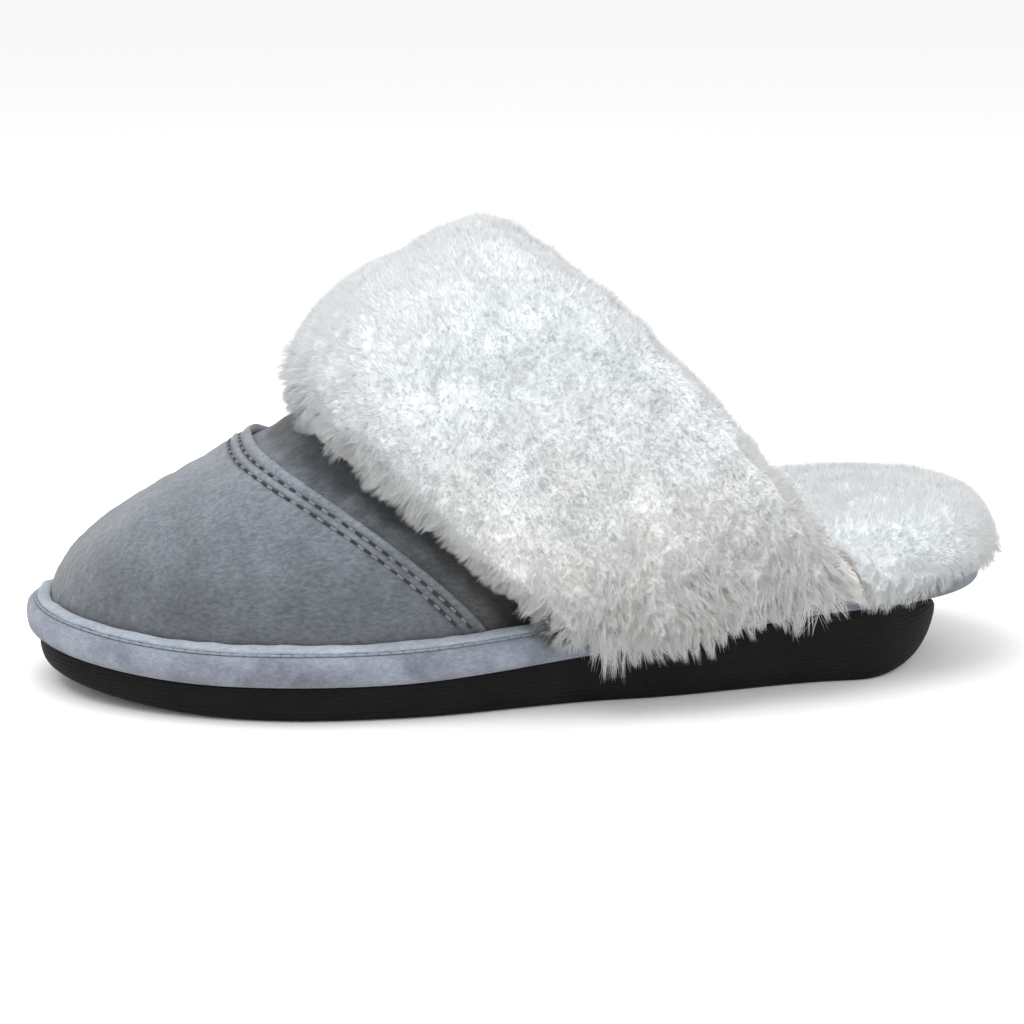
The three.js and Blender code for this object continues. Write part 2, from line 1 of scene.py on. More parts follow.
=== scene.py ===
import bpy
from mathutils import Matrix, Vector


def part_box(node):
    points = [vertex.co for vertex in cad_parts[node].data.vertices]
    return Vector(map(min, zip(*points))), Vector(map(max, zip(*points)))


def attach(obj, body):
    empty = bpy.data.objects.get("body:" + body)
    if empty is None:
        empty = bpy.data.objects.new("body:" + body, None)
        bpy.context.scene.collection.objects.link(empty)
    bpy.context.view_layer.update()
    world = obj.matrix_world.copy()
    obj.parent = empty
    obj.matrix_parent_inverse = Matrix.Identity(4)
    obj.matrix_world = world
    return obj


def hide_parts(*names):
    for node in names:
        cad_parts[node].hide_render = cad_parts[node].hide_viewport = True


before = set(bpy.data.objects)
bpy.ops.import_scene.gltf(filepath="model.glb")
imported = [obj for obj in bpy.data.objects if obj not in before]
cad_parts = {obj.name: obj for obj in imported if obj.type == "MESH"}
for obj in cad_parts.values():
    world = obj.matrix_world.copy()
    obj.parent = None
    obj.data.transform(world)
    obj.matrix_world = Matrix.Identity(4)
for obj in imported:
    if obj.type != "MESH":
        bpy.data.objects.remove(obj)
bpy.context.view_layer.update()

"""The looks of a fluffy house slipper for the left foot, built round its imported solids.

The sizes that the solids hold are read from the frame, and the rest are fields of the class whose
pieces they shape. Shapes are worked out in millimetres and put into meshes in metres. +X runs from the
toe to the heel, +Y to the inner side of the foot and +Z up.
"""

import logging
import math
from dataclasses import dataclass, field, fields
from enum import Enum
from typing import Callable

import bpy
import numpy as np
from mathutils import Vector

LOG = logging.getLogger("slipper")
MM = 0.001
QUARTER = math.pi / 2
BODY = "root"
BAKE_MAP = "OFBake"
PIECE_LIMIT = 190_000
Array = np.ndarray
Layers = tuple[tuple[float, float, int], ...]  # the height, wavelength and seed of each ripple
UP = np.array([0.0, 0.0, 1.0])


class Slot(Enum):
    """The record's material slots."""

    UPPER = "upper_suede"
    RAND = "rand_suede"
    WOOL = "wool"
    HIDE = "hide"
    RUBBER = "outsole_rubber"
    FOAM = "cushion_foam"
    BOARD = "fibre_board"
    THREAD = "thread"


# ------------------------------------------------------------------------------------------ numbers


def smooth(x: Array, start: float = 0.0, end: float = 1.0) -> Array:
    """A smooth step: 0 up to start, 1 from end on, and 3t^2 - 2t^3 between them.

    Args:
        x: Where to read it.
        start: Where the step begins.
        end: Where it ends.

    Returns:
        Values from 0 to 1.
    """
    t = np.clip((np.asarray(x, float) - start) / (end - start), 0, 1)
    return t * t * (3 - 2 * t)


def mix(a: Array, b: Array, share: Array) -> Array:
    """The value share of the way from a to b."""
    return a + (b - a) * share


def bell(x: Array, middle: float, width: float) -> Array:
    """A bell curve of height 1: e^-((x - middle) / width)^2."""
    return np.exp(-(((x - middle) / width) ** 2))


def power(x: Array, exponent: float) -> Array:
    """x to a power, with its sign kept."""
    return np.sign(x) * np.abs(x) ** exponent


def round_off(share: Array, exponent: float) -> Array:
    """A quarter of a superellipse: (1 - share^e)^(1/e)."""
    return (1 - np.clip(share, 0, 1) ** exponent) ** (1 / exponent)


def unit(v: Array) -> Array:
    """Vectors brought to length 1 along the last axis."""
    return v / np.maximum(np.linalg.norm(v, axis=-1, keepdims=True), 1e-9)


def ripple(points: Array, wavelength: float, seed: int, waves: int = 24) -> Array:
    """Smooth noise: a sum of cosine waves of about one wavelength that run in random directions.

    Args:
        points: Places, with x, y, z along the last axis.
        wavelength: The middle wavelength, in the units of points.
        seed: Which pattern.
        waves: How many cosines are added.

    Returns:
        Noise of about unit spread at each place.
    """
    rng = np.random.default_rng(seed)
    k = unit(rng.normal(size=(waves, 3))) * (2 * math.pi / wavelength)
    k *= rng.uniform(0.6, 1.6, (waves, 1))
    phase = rng.uniform(0, 2 * math.pi, waves)
    return np.cos(points @ k.T + phase).sum(-1) / math.sqrt(waves / 2)


def relief(points: Array, layers: Layers) -> Array:
    """Ripples laid over each other.

    Args:
        points: Places, with x, y, z along the last axis.
        layers: The height, wavelength and seed of each ripple.

    Returns:
        Their sum at each place.
    """
    return sum(height * ripple(points, wavelength, seed) for height, wavelength, seed in layers)


def shares(count: int) -> Array:
    """Even steps from 0 to 1, down a column."""
    return np.linspace(0, 1, count)[:, None]


def turns(count: int) -> Array:
    """Even turns from one foot of the upper over its ridge to the other, along a row."""
    return np.linspace(-QUARTER, QUARTER, count)[None, :]


def grid_normals(grid: Array) -> Array:
    """Unit normals of a grid of points, from the cross product of its two gradients."""
    return unit(np.cross(np.gradient(grid, axis=0), np.gradient(grid, axis=1)))


# ------------------------------------------------------------------------------------------- meshes


@dataclass
class Surface:
    """Points in millimetres, the triangles between them and the painted shading at each, which darkens the
    finish as painted shade and pales it as painted highlight where it is below 0.
    """

    points: Array
    triangles: Array
    painted_shading: Array | None = None

    def __post_init__(self) -> None:
        """Paints no shade or highlight where no painted shading is given."""
        if self.painted_shading is None:
            self.painted_shading = np.zeros(len(self.points))

    def welded(self) -> "Surface":
        """Merges equal points and drops faces of no width.

        Returns:
            The same surface without them.
        """
        keys = np.round(self.points, 4)
        _, first, inverse = np.unique(keys, axis=0, return_index=True, return_inverse=True)
        t = inverse.reshape(-1)[self.triangles]
        real = (t[:, 0] != t[:, 1]) & (t[:, 1] != t[:, 2]) & (t[:, 0] != t[:, 2])
        return Surface(self.points[first], t[real], self.painted_shading[first])

    def flipped(self) -> "Surface":
        """The same surface with its faces turned round."""
        return Surface(self.points, self.triangles[:, ::-1], self.painted_shading)

    def outward(self) -> "Surface":
        """The same closed surface with its faces turned outwards, by the sign of its volume."""
        a, b, c = (self.points[self.triangles[:, i]] for i in range(3))
        return self if np.einsum("ij,ij->i", a, np.cross(b, c)).sum() >= 0 else self.flipped()

    def joined(self, *others: "Surface") -> "Surface":
        """Joins surfaces without merging their points.

        Args:
            *others: The surfaces that follow this one.

        Returns:
            One list of points and triangles.
        """
        parts = [self, *others]
        starts = np.cumsum([0] + [len(p.points) for p in parts[:-1]])
        triangles = np.concatenate([p.triangles + s for p, s in zip(parts, starts)])
        points, painted_shading = (np.concatenate(v) for v in zip(*((p.points, p.painted_shading) for p in parts)))
        return Surface(points, triangles, painted_shading)


def grid_triangles(rows: int, columns: int, wrap_rows: bool = False, wrap_columns: bool = False) -> Array:
    """Two triangles for each cell of a grid whose points are numbered row by row.

    Args:
        rows: Rows of points.
        columns: Points in a row.
        wrap_rows: Whether the last row joins the first.
        wrap_columns: Whether the last column joins the first.

    Returns:
        Triangles as rows of three point numbers.
    """
    r = np.arange(rows if wrap_rows else rows - 1)[:, None]
    c = np.arange(columns if wrap_columns else columns - 1)[None, :]
    r2, c2 = (r + 1) % rows, (c + 1) % columns
    a, b = r * columns + c, r * columns + c2
    d, e = r2 * columns + c, r2 * columns + c2
    return np.stack([np.stack([a, b, e], -1), np.stack([a, e, d], -1)], 2).reshape(-1, 3)


def shell(outer: Array, inner: Array, painted_shading: Array | None = None) -> Surface:
    """A wall between two grids of points: both faces and the strips that join their four borders.

    Args:
        outer: The grid of one face.
        inner: The grid of the other, of the same shape.
        painted_shading: The painted shade that darkens the finish at each point of the grids, painted
            highlight where it is below 0.

    Returns:
        The closed wall.
    """
    rows, columns = outer.shape[:2]
    count = rows * columns
    face = grid_triangles(rows, columns)
    numbers = np.arange(count).reshape(rows, columns)
    edges = (numbers[0], numbers[-1][::-1], numbers[:, 0][::-1], numbers[:, -1])
    strips = []
    for edge in edges:
        a, b = edge[:-1], edge[1:]
        strips += [np.stack([b, a, a + count], -1), np.stack([b, a + count, b + count], -1)]
    points = np.concatenate([outer.reshape(-1, 3), inner.reshape(-1, 3)])
    shade = np.zeros(2 * count) if painted_shading is None else np.tile(painted_shading.ravel(), 2)
    triangles = np.concatenate([face, face[:, ::-1] + count, *strips])
    return Surface(points, triangles, shade).welded().outward()


def tube(sections: Array) -> Surface:
    """A closed form: a wall through a row of closed loops, and a fan of triangles over both end loops.

    Args:
        sections: The loops, as points by row and corner.

    Returns:
        The closed form.
    """
    rows, corners = sections.shape[:2]
    wall = grid_triangles(rows, corners, wrap_columns=True)
    ends = sections[[0, -1]].mean(1)
    points = np.concatenate([sections.reshape(-1, 3), ends])
    here = np.arange(corners)
    there = (here + 1) % corners
    last = (rows - 1) * corners
    start = np.stack([there, here, np.full(corners, rows * corners)], -1)
    stop = np.stack([here + last, there + last, np.full(corners, rows * corners + 1)], -1)
    return Surface(points, np.concatenate([wall, start, stop])).welded().outward()


def ring(sections: Array) -> Surface:
    """A closed band: a grid of points whose last row and last column join the first.

    Args:
        sections: The loops along the band, as points by corner of the section and by station.

    Returns:
        The closed band.
    """
    corners, stations = sections.shape[:2]
    triangles = grid_triangles(corners, stations, True, True)
    return Surface(sections.reshape(-1, 3), triangles).welded().outward()


def rungs(loop: Array, across: int) -> Array:
    """A grid that fills a ring of Form.outline: straight rungs from its outer to its inner side.

    Args:
        loop: The ring, from the back up the outer side and down the inner side.
        across: Points on each rung.

    Returns:
        The grid, from the toe to the heel and from the outer to the inner side.
    """
    half = len(loop) // 2
    outer = loop[: half + 1][::-1]
    inner = np.concatenate([loop[half:], loop[:1]])
    share = np.linspace(0, 1, across)[None, :, None]
    return outer[:, None] * (1 - share) + inner[:, None] * share


def slab(rings: Array, floor: Array, lid: Array) -> Surface:
    """A closed form from a wall of rings and the grids that fill its two ends.

    Args:
        rings: The wall's rings, from the floor up.
        floor: The grid inside the first ring.
        lid: The grid inside the last ring.

    Returns:
        The closed form.
    """
    wall = Surface(rings.reshape(-1, 3), grid_triangles(*rings.shape[:2], wrap_columns=True))
    ends = [Surface(grid.reshape(-1, 3), grid_triangles(*grid.shape[:2])) for grid in (floor, lid)]
    return wall.flipped().joined(ends[0], ends[1].flipped()).welded().outward()


def capsules(centres: Array, along: Array, up: Array, length: float, radius: float) -> Surface:
    """Short rounded rods: for each centre, rings whose radius follows a half ellipse along the rod.

    Args:
        centres: Middle of each rod.
        along: Unit direction of each rod.
        up: A direction across each rod.
        length: Length over the ends.
        radius: Radius at the middle.

    Returns:
        All the rods as one surface.
    """
    rings, sides = 9, 8
    t = -np.cos(np.linspace(0, math.pi, rings))
    angle = np.arange(sides) * 2 * math.pi / sides
    side = unit(np.cross(along, up))
    top = np.cross(side, along)
    width = radius * (1 - np.abs(t) ** 3) ** (1 / 3)
    spoke = np.cos(angle)[:, None] * side[:, None, None] + np.sin(angle)[:, None] * top[:, None, None]
    points = centres[:, None, None] + along[:, None, None] * (t * length / 2)[:, None, None]
    points = points + spoke * width[:, None, None]
    one = grid_triangles(rings, sides, wrap_columns=True)
    shift = np.arange(len(centres))[:, None, None] * rings * sides
    return Surface(points.reshape(-1, 3), (one + shift).reshape(-1, 3)).welded().outward()


def make_piece(
    name: str,
    surface: Surface,
    material: bpy.types.Material,
    slot: Slot,
    replaces: tuple[str, ...] = (),
) -> bpy.types.Object:
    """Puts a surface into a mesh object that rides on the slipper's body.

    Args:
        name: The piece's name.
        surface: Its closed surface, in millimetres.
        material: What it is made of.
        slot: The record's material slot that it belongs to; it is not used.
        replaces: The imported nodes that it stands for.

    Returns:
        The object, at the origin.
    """
    mesh = bpy.data.meshes.new(name)
    triangles = surface.triangles
    mesh.vertices.add(len(surface.points))
    mesh.vertices.foreach_set("co", (surface.points * MM).astype(np.float32).ravel())
    mesh.loops.add(triangles.size)
    mesh.loops.foreach_set("vertex_index", triangles.astype(np.int32).ravel())
    mesh.polygons.add(len(triangles))
    mesh.polygons.foreach_set("loop_start", np.arange(0, triangles.size, 3, dtype=np.int32))
    mesh.polygons.foreach_set("use_smooth", np.ones(len(triangles), bool))
    mesh.attributes.new("painted_shading", "FLOAT", "POINT").data.foreach_set("value", surface.painted_shading.astype(np.float32))
    mesh.update(calc_edges=True)
    mesh.materials.append(material)
    piece = bpy.data.objects.new(name, mesh)
    bpy.context.scene.collection.objects.link(piece)
    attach(piece, BODY)
    if replaces:
        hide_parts(*replaces)
    LOG.info("%s: %d triangles, stands for %s", name, len(triangles), ", ".join(replaces) or "itself")
    return piece


# ---------------------------------------------------------------------------------------- materials


def add_socket(tree: bpy.types.NodeTree, name: str, way: str, value: float | None = None) -> None:
    """Gives a node group a named number as its input or output.

    Args:
        tree: The node group.
        name: The socket's name.
        way: INPUT or OUTPUT.
        value: What an input holds where nothing feeds it.
    """
    socket = tree.interface.new_socket(name, in_out=way, socket_type="NodeSocketFloat")
    if value is not None:
        socket.default_value = value


def noise_node(tree: bpy.types.NodeTree, scale: float, detail: float, roughness: float) -> bpy.types.Node:
    """A noise texture for places in metres.

    Args:
        tree: The node group that it goes into.
        scale: How many times a metre the noise turns.
        detail: How many finer layers it has.
        roughness: How strong the finer layers are.

    Returns:
        The texture's node.
    """
    node = tree.nodes.new("ShaderNodeTexNoise")
    node.inputs["Scale"].default_value = scale
    node.inputs["Detail"].default_value = detail
    node.inputs["Roughness"].default_value = roughness
    return node


def nap_group() -> bpy.types.NodeTree:
    """Napped leather: broad clouds, where the nap is brushed to and fro, over a fine streaky grain.

    Returns:
        A group with a mask of clouds, a mask of grain and the height of the nap.
    """
    tree = bpy.data.node_groups.new("nap", "ShaderNodeTree")
    add_socket(tree, "Cloud Scale", "INPUT", 70)
    add_socket(tree, "Grain Scale", "INPUT", 900)
    for name in ("Clouds", "Grain", "Height"):
        add_socket(tree, name, "OUTPUT")
    link = tree.links.new
    come, go = tree.nodes.new("NodeGroupInput"), tree.nodes.new("NodeGroupOutput")
    place = tree.nodes.new("ShaderNodeTexCoord")
    stretch = tree.nodes.new("ShaderNodeMapping")
    stretch.inputs["Rotation"].default_value = (0.3, 0.5, 0.4)
    stretch.inputs["Scale"].default_value = (0.45, 1.0, 1.0)
    link(place.outputs["Object"], stretch.inputs["Vector"])
    clouds = noise_node(tree, 70, 5, 0.62)
    grain = noise_node(tree, 900, 4, 0.7)
    fibres = noise_node(tree, 2600, 2, 0.6)
    link(place.outputs["Object"], clouds.inputs["Vector"])
    link(stretch.outputs["Vector"], grain.inputs["Vector"])
    link(stretch.outputs["Vector"], fibres.inputs["Vector"])
    link(come.outputs["Cloud Scale"], clouds.inputs["Scale"])
    link(come.outputs["Grain Scale"], grain.inputs["Scale"])
    both = tree.nodes.new("ShaderNodeMath")
    both.operation = "ADD"
    link(grain.outputs["Fac"], both.inputs[0])
    link(fibres.outputs["Fac"], both.inputs[1])
    link(clouds.outputs["Fac"], go.inputs["Clouds"])
    link(grain.outputs["Fac"], go.inputs["Grain"])
    link(both.outputs["Value"], go.inputs["Height"])
    return tree


def height_fade_group() -> bpy.types.NodeTree:
    """How far up a place is between two heights, with a ragged border.

    Returns:
        A group with the share of the way up, from 0 at Low to 1 at High.
    """
    tree = bpy.data.node_groups.new("height_fade", "ShaderNodeTree")
    add_socket(tree, "Low", "INPUT", 0.0)
    add_socket(tree, "High", "INPUT", 0.1)
    add_socket(tree, "Ragged", "INPUT", 0.02)
    add_socket(tree, "Share", "OUTPUT")
    link = tree.links.new
    come, go = tree.nodes.new("NodeGroupInput"), tree.nodes.new("NodeGroupOutput")
    place = tree.nodes.new("ShaderNodeTexCoord")
    parts = tree.nodes.new("ShaderNodeSeparateXYZ")
    link(place.outputs["Object"], parts.inputs["Vector"])
    noise = noise_node(tree, 60, 4, 0.6)
    link(place.outputs["Object"], noise.inputs["Vector"])
    centred = tree.nodes.new("ShaderNodeMath")
    centred.operation = "SUBTRACT"
    centred.inputs[1].default_value = 0.5
    link(noise.outputs["Fac"], centred.inputs[0])
    shifted = tree.nodes.new("ShaderNodeMath")
    shifted.operation = "MULTIPLY_ADD"
    link(centred.outputs["Value"], shifted.inputs[0])
    link(come.outputs["Ragged"], shifted.inputs[1])
    link(parts.outputs["Z"], shifted.inputs[2])
    fade = tree.nodes.new("ShaderNodeMapRange")
    fade.interpolation_type = "SMOOTHSTEP"
    link(shifted.outputs["Value"], fade.inputs["Value"])
    link(come.outputs["Low"], fade.inputs["From Min"])
    link(come.outputs["High"], fade.inputs["From Max"])
    link(fade.outputs["Result"], go.inputs["Share"])
    return tree


class Workshop:
    """The shader groups that several finishes share, each built once."""

    def __init__(self) -> None:
        """Builds the groups."""
        self.nap = nap_group()
        self.fade = height_fade_group()


@dataclass
class Dresser:
    """A material under construction: a Principled shader and short ways to wire nodes to it."""

    name: str
    material: bpy.types.Material = field(init=False)
    tree: bpy.types.NodeTree = field(init=False)
    shader: bpy.types.Node = field(init=False)

    def __post_init__(self) -> None:
        """Starts an empty material with its shader and output."""
        self.material = bpy.data.materials.new(self.name)
        self.material.use_nodes = True
        self.tree = self.material.node_tree
        self.tree.nodes.clear()
        self.shader = self.tree.nodes.new("ShaderNodeBsdfPrincipled")
        out = self.tree.nodes.new("ShaderNodeOutputMaterial")
        self.link(self.shader.outputs["BSDF"], out.inputs["Surface"])

    def link(self, start: bpy.types.NodeSocket, end: bpy.types.NodeSocket) -> None:
        """Joins two sockets."""
        self.tree.links.new(start, end)

    def node(self, kind: str) -> bpy.types.Node:
        """Adds a node of a kind."""
        return self.tree.nodes.new(kind)

    def group(self, tree: bpy.types.NodeTree, **values: float) -> bpy.types.Node:
        """Places a shared group with values of its own.

        Args:
            tree: The shared group.
            **values: Its inputs, with _ for each blank in their names.

        Returns:
            The group's node.
        """
        node = self.node("ShaderNodeGroup")
        node.node_tree = tree
        for key, value in values.items():
            node.inputs[key.replace("_", " ")].default_value = value
        return node

    def set(self, **values: float | tuple) -> None:
        """Sets sockets of the shader, written with _ for each blank in their names."""
        for key, value in values.items():
            self.shader.inputs[key.replace("_", " ")].default_value = value

    def ramp(self, factor: bpy.types.NodeSocket, stops: list[tuple[float, tuple]]) -> bpy.types.NodeSocket:
        """A colour ramp over a factor.

        Args:
            factor: What chooses the colour.
            stops: Pairs of place and linear red, green, blue.

        Returns:
            The ramp's colour.
        """
        node = self.node("ShaderNodeValToRGB")
        elements = node.color_ramp.elements
        while len(elements) < len(stops):
            elements.new(0.5)
        for element, (place, colour) in zip(elements, stops):
            element.position = place
            element.color = (*colour, 1)
        self.link(factor, node.inputs["Fac"])
        return node.outputs["Color"]

    def blend(
        self, a: bpy.types.NodeSocket, b: bpy.types.NodeSocket, share: object, mode: str = "MIX"
    ) -> bpy.types.NodeSocket:
        """Mixes two colours.

        Args:
            a: The first colour, as a socket or a tuple.
            b: The second colour, as a socket or a tuple.
            share: How much of the second, as a socket or a number.
            mode: Blender's name of the way to mix them.

        Returns:
            The mixed colour.
        """
        node = self.node("ShaderNodeMix")
        node.data_type = "RGBA"
        node.blend_type = mode
        ends = [node.inputs["Factor"], *(i for i in node.inputs if i.type == "RGBA")]
        for value, end in zip((share, a, b), ends):
            if isinstance(value, bpy.types.NodeSocket):
                self.link(value, end)
            elif isinstance(value, tuple):
                end.default_value = (*value, 1)
            else:
                end.default_value = value
        return next(o for o in node.outputs if o.type == "RGBA")

    def times(
        self, a: bpy.types.NodeSocket, b: bpy.types.NodeSocket, share: float = 1.0
    ) -> bpy.types.NodeSocket:
        """Multiplies one colour by another, by a share of the full effect."""
        return self.blend(a, b, share, "MULTIPLY")

    def greys(self, factor: bpy.types.NodeSocket, *stops: tuple[float, float]) -> bpy.types.NodeSocket:
        """A ramp over a factor whose stops are pairs of place and grey."""
        return self.ramp(factor, [(place, (value,) * 3) for place, value in stops])

    def tint_factor(self) -> bpy.types.NodeSocket:
        """One less the mesh's painted shading: painted shade darkens a colour and painted highlight pales
        it.

        Returns:
            What a colour is multiplied by.
        """
        painted_shading = self.node("ShaderNodeAttribute")
        painted_shading.attribute_name = "painted_shading"
        rest = self.node("ShaderNodeMath")
        rest.operation = "SUBTRACT"
        rest.inputs[0].default_value = 1.0
        self.link(painted_shading.outputs["Fac"], rest.inputs[1])
        return rest.outputs["Value"]

    def bump(self, height: bpy.types.NodeSocket, strength: float, distance: float) -> None:
        """Feeds a height through a bump node to the shader's normal.

        Args:
            height: The height over the surface.
            strength: How much of the bump shows.
            distance: How high a height of 1 stands, in metres.
        """
        node = self.node("ShaderNodeBump")
        node.inputs["Strength"].default_value = strength
        node.inputs["Distance"].default_value = distance
        self.link(height, node.inputs["Height"])
        self.link(node.outputs["Normal"], self.shader.inputs["Normal"])

    def roughness(self, socket: bpy.types.NodeSocket) -> None:
        """Feeds a roughness to the shader."""
        self.link(socket, self.shader.inputs["Roughness"])

    def colour(self, socket: bpy.types.NodeSocket) -> None:
        """Feeds a colour to the shader."""
        self.link(socket, self.shader.inputs["Base Color"])


@dataclass(frozen=True)
class SuedeFinish:
    """Napped leather in two tones, paler where the nap is lifted, with painted shade that darkens it towards
    the ground.
    """

    name: str
    dark: tuple[float, float, float]
    pale: tuple[float, float, float]
    # The colour that the suede is multiplied by at low_z, fading out by high_z: painted shade that darkens
    # it towards the ground.
    low: tuple[float, float, float]
    low_z: float
    high_z: float
    cloud_scale: float = 75.0
    grain_scale: float = 1100.0
    bump_strength: float = 0.5
    grain: float = 0.45

    def material(self, shop: Workshop) -> bpy.types.Material:
        """Builds the material.

        Args:
            shop: The shared shader groups.

        Returns:
            The suede.
        """
        dress = Dresser(self.name)
        nap = dress.group(shop.nap, Cloud_Scale=self.cloud_scale, Grain_Scale=self.grain_scale)
        fade = dress.group(shop.fade, Low=self.low_z * MM, High=self.high_z * MM, Ragged=0.03)
        clouds = dress.ramp(nap.outputs["Clouds"], [(0.32, self.dark), (0.68, self.pale)])
        # Painted shade: the low colour darkens the suede from high_z down to low_z.
        painted_ground_shade = dress.blend(self.low, (1.0, 1.0, 1.0), fade.outputs["Share"])
        speck = dress.greys(nap.outputs["Grain"], (0.34, 0.62), (0.66, 1.42))
        grained = dress.times(dress.times(clouds, painted_ground_shade), speck, self.grain)
        # The mesh's painted shading multiplies it: painted shade where above 0 and painted highlight where
        # below 0.
        dress.colour(dress.times(grained, dress.tint_factor()))
        dress.bump(nap.outputs["Height"], self.bump_strength, distance=0.0006)
        dress.set(Roughness=0.92, Sheen_Weight=0.35, Sheen_Roughness=0.55, Specular_IOR_Level=0.2)
        return dress.material


@dataclass(frozen=True)
class WoolFinish:
    """White wool, cool on top and creamy with pale brown locks lower down."""

    name: str
    top: tuple[float, float, float]
    low: tuple[float, float, float]
    lock: tuple[float, float, float]
    low_z: float
    high_z: float

    def material(self, shop: Workshop) -> bpy.types.Material:
        """Builds the material.

        Args:
            shop: The shared shader groups.

        Returns:
            The wool.
        """
        dress = Dresser(self.name)
        fade = dress.group(shop.fade, Low=self.low_z * MM, High=self.high_z * MM, Ragged=0.05)
        nap = dress.group(shop.nap, Cloud_Scale=110.0, Grain_Scale=700.0)
        locks = dress.ramp(nap.outputs["Clouds"], [(0.42, self.lock), (0.58, self.low)])
        tone = dress.blend(locks, self.top, fade.outputs["Share"])
        speck = dress.greys(nap.outputs["Grain"], (0.3, 0.95), (0.7, 1.0))
        dress.colour(dress.times(tone, speck))
        dress.set(Roughness=0.95, Sheen_Weight=0.4, Sheen_Roughness=0.4, Specular_IOR_Level=0.15)
        dress.set(Subsurface_Weight=0.7, Subsurface_Scale=0.0015, Subsurface_Radius=(1.0, 1.0, 1.0))
        return dress.material


@dataclass(frozen=True)
class RubberFinish:
    """Charcoal foamed rubber with fine level lines from its mould and scuffed, paler patches."""

    name: str
    dark: tuple[float, float, float] = (0.0033, 0.0033, 0.003)
    scuffed: tuple[float, float, float] = (0.0072, 0.007, 0.0068)
    line_pitch: float = 1.25

    def material(self, shop: Workshop) -> bpy.types.Material:
        """Builds the material.

        Args:
            shop: The shared shader groups.

        Returns:
            The rubber.
        """
        dress = Dresser(self.name)
        nap = dress.group(shop.nap, Cloud_Scale=45.0, Grain_Scale=1400.0)
        body = dress.ramp(nap.outputs["Clouds"], [(0.35, self.dark), (0.7, self.scuffed)])
        place = dress.node("ShaderNodeTexCoord")
        wave = dress.node("ShaderNodeTexWave")
        wave.bands_direction = "Z"
        wave.inputs["Scale"].default_value = 2 * math.pi / (20 * self.line_pitch * MM)
        wave.inputs["Distortion"].default_value = 0.6
        wave.inputs["Detail Scale"].default_value = 2.0
        dress.link(place.outputs["Object"], wave.inputs["Vector"])
        ridges = dress.greys(wave.outputs["Fac"], (0.15, 0.85), (0.85, 1.15))
        dress.colour(dress.times(body, ridges))
        total = dress.node("ShaderNodeMath")
        total.operation = "MULTIPLY_ADD"
        total.inputs[1].default_value = 0.5
        dress.link(nap.outputs["Height"], total.inputs[0])
        dress.link(wave.outputs["Fac"], total.inputs[2])
        dress.bump(total.outputs["Value"], strength=0.4, distance=0.0003)
        dress.roughness(dress.greys(nap.outputs["Grain"], (0.3, 0.55), (0.7, 0.8)))
        dress.set(Specular_IOR_Level=0.12)
        return dress.material


@dataclass(frozen=True)
class PlainFinish:
    """A simple part's finish: two tones, a grain and a roughness that varies a little."""

    name: str
    dark: tuple[float, float, float]
    pale: tuple[float, float, float]
    roughness: float
    grain_scale: float = 900.0
    bump_strength: float = 0.3

    def material(self, shop: Workshop) -> bpy.types.Material:
        """Builds the material.

        Args:
            shop: The shared shader groups.

        Returns:
            The finish.
        """
        dress = Dresser(self.name)
        nap = dress.group(shop.nap, Cloud_Scale=120.0, Grain_Scale=self.grain_scale)
        dress.colour(dress.ramp(nap.outputs["Grain"], [(0.35, self.dark), (0.65, self.pale)]))
        dress.bump(nap.outputs["Height"], self.bump_strength, distance=0.0003)
        low, high = self.roughness - 0.08, min(1.0, self.roughness + 0.08)
        dress.roughness(dress.greys(nap.outputs["Clouds"], (0.3, low), (0.7, high)))
        return dress.material


# ---------------------------------------------------------------------------------- shared geometry


@dataclass(frozen=True)
class SoleSide:
    """One side of the sole's outline: its sign along Y and its widths from the toe back."""

    sign: float
    ball_from_toe: float
    ball: float
    waist: float
    heel: float


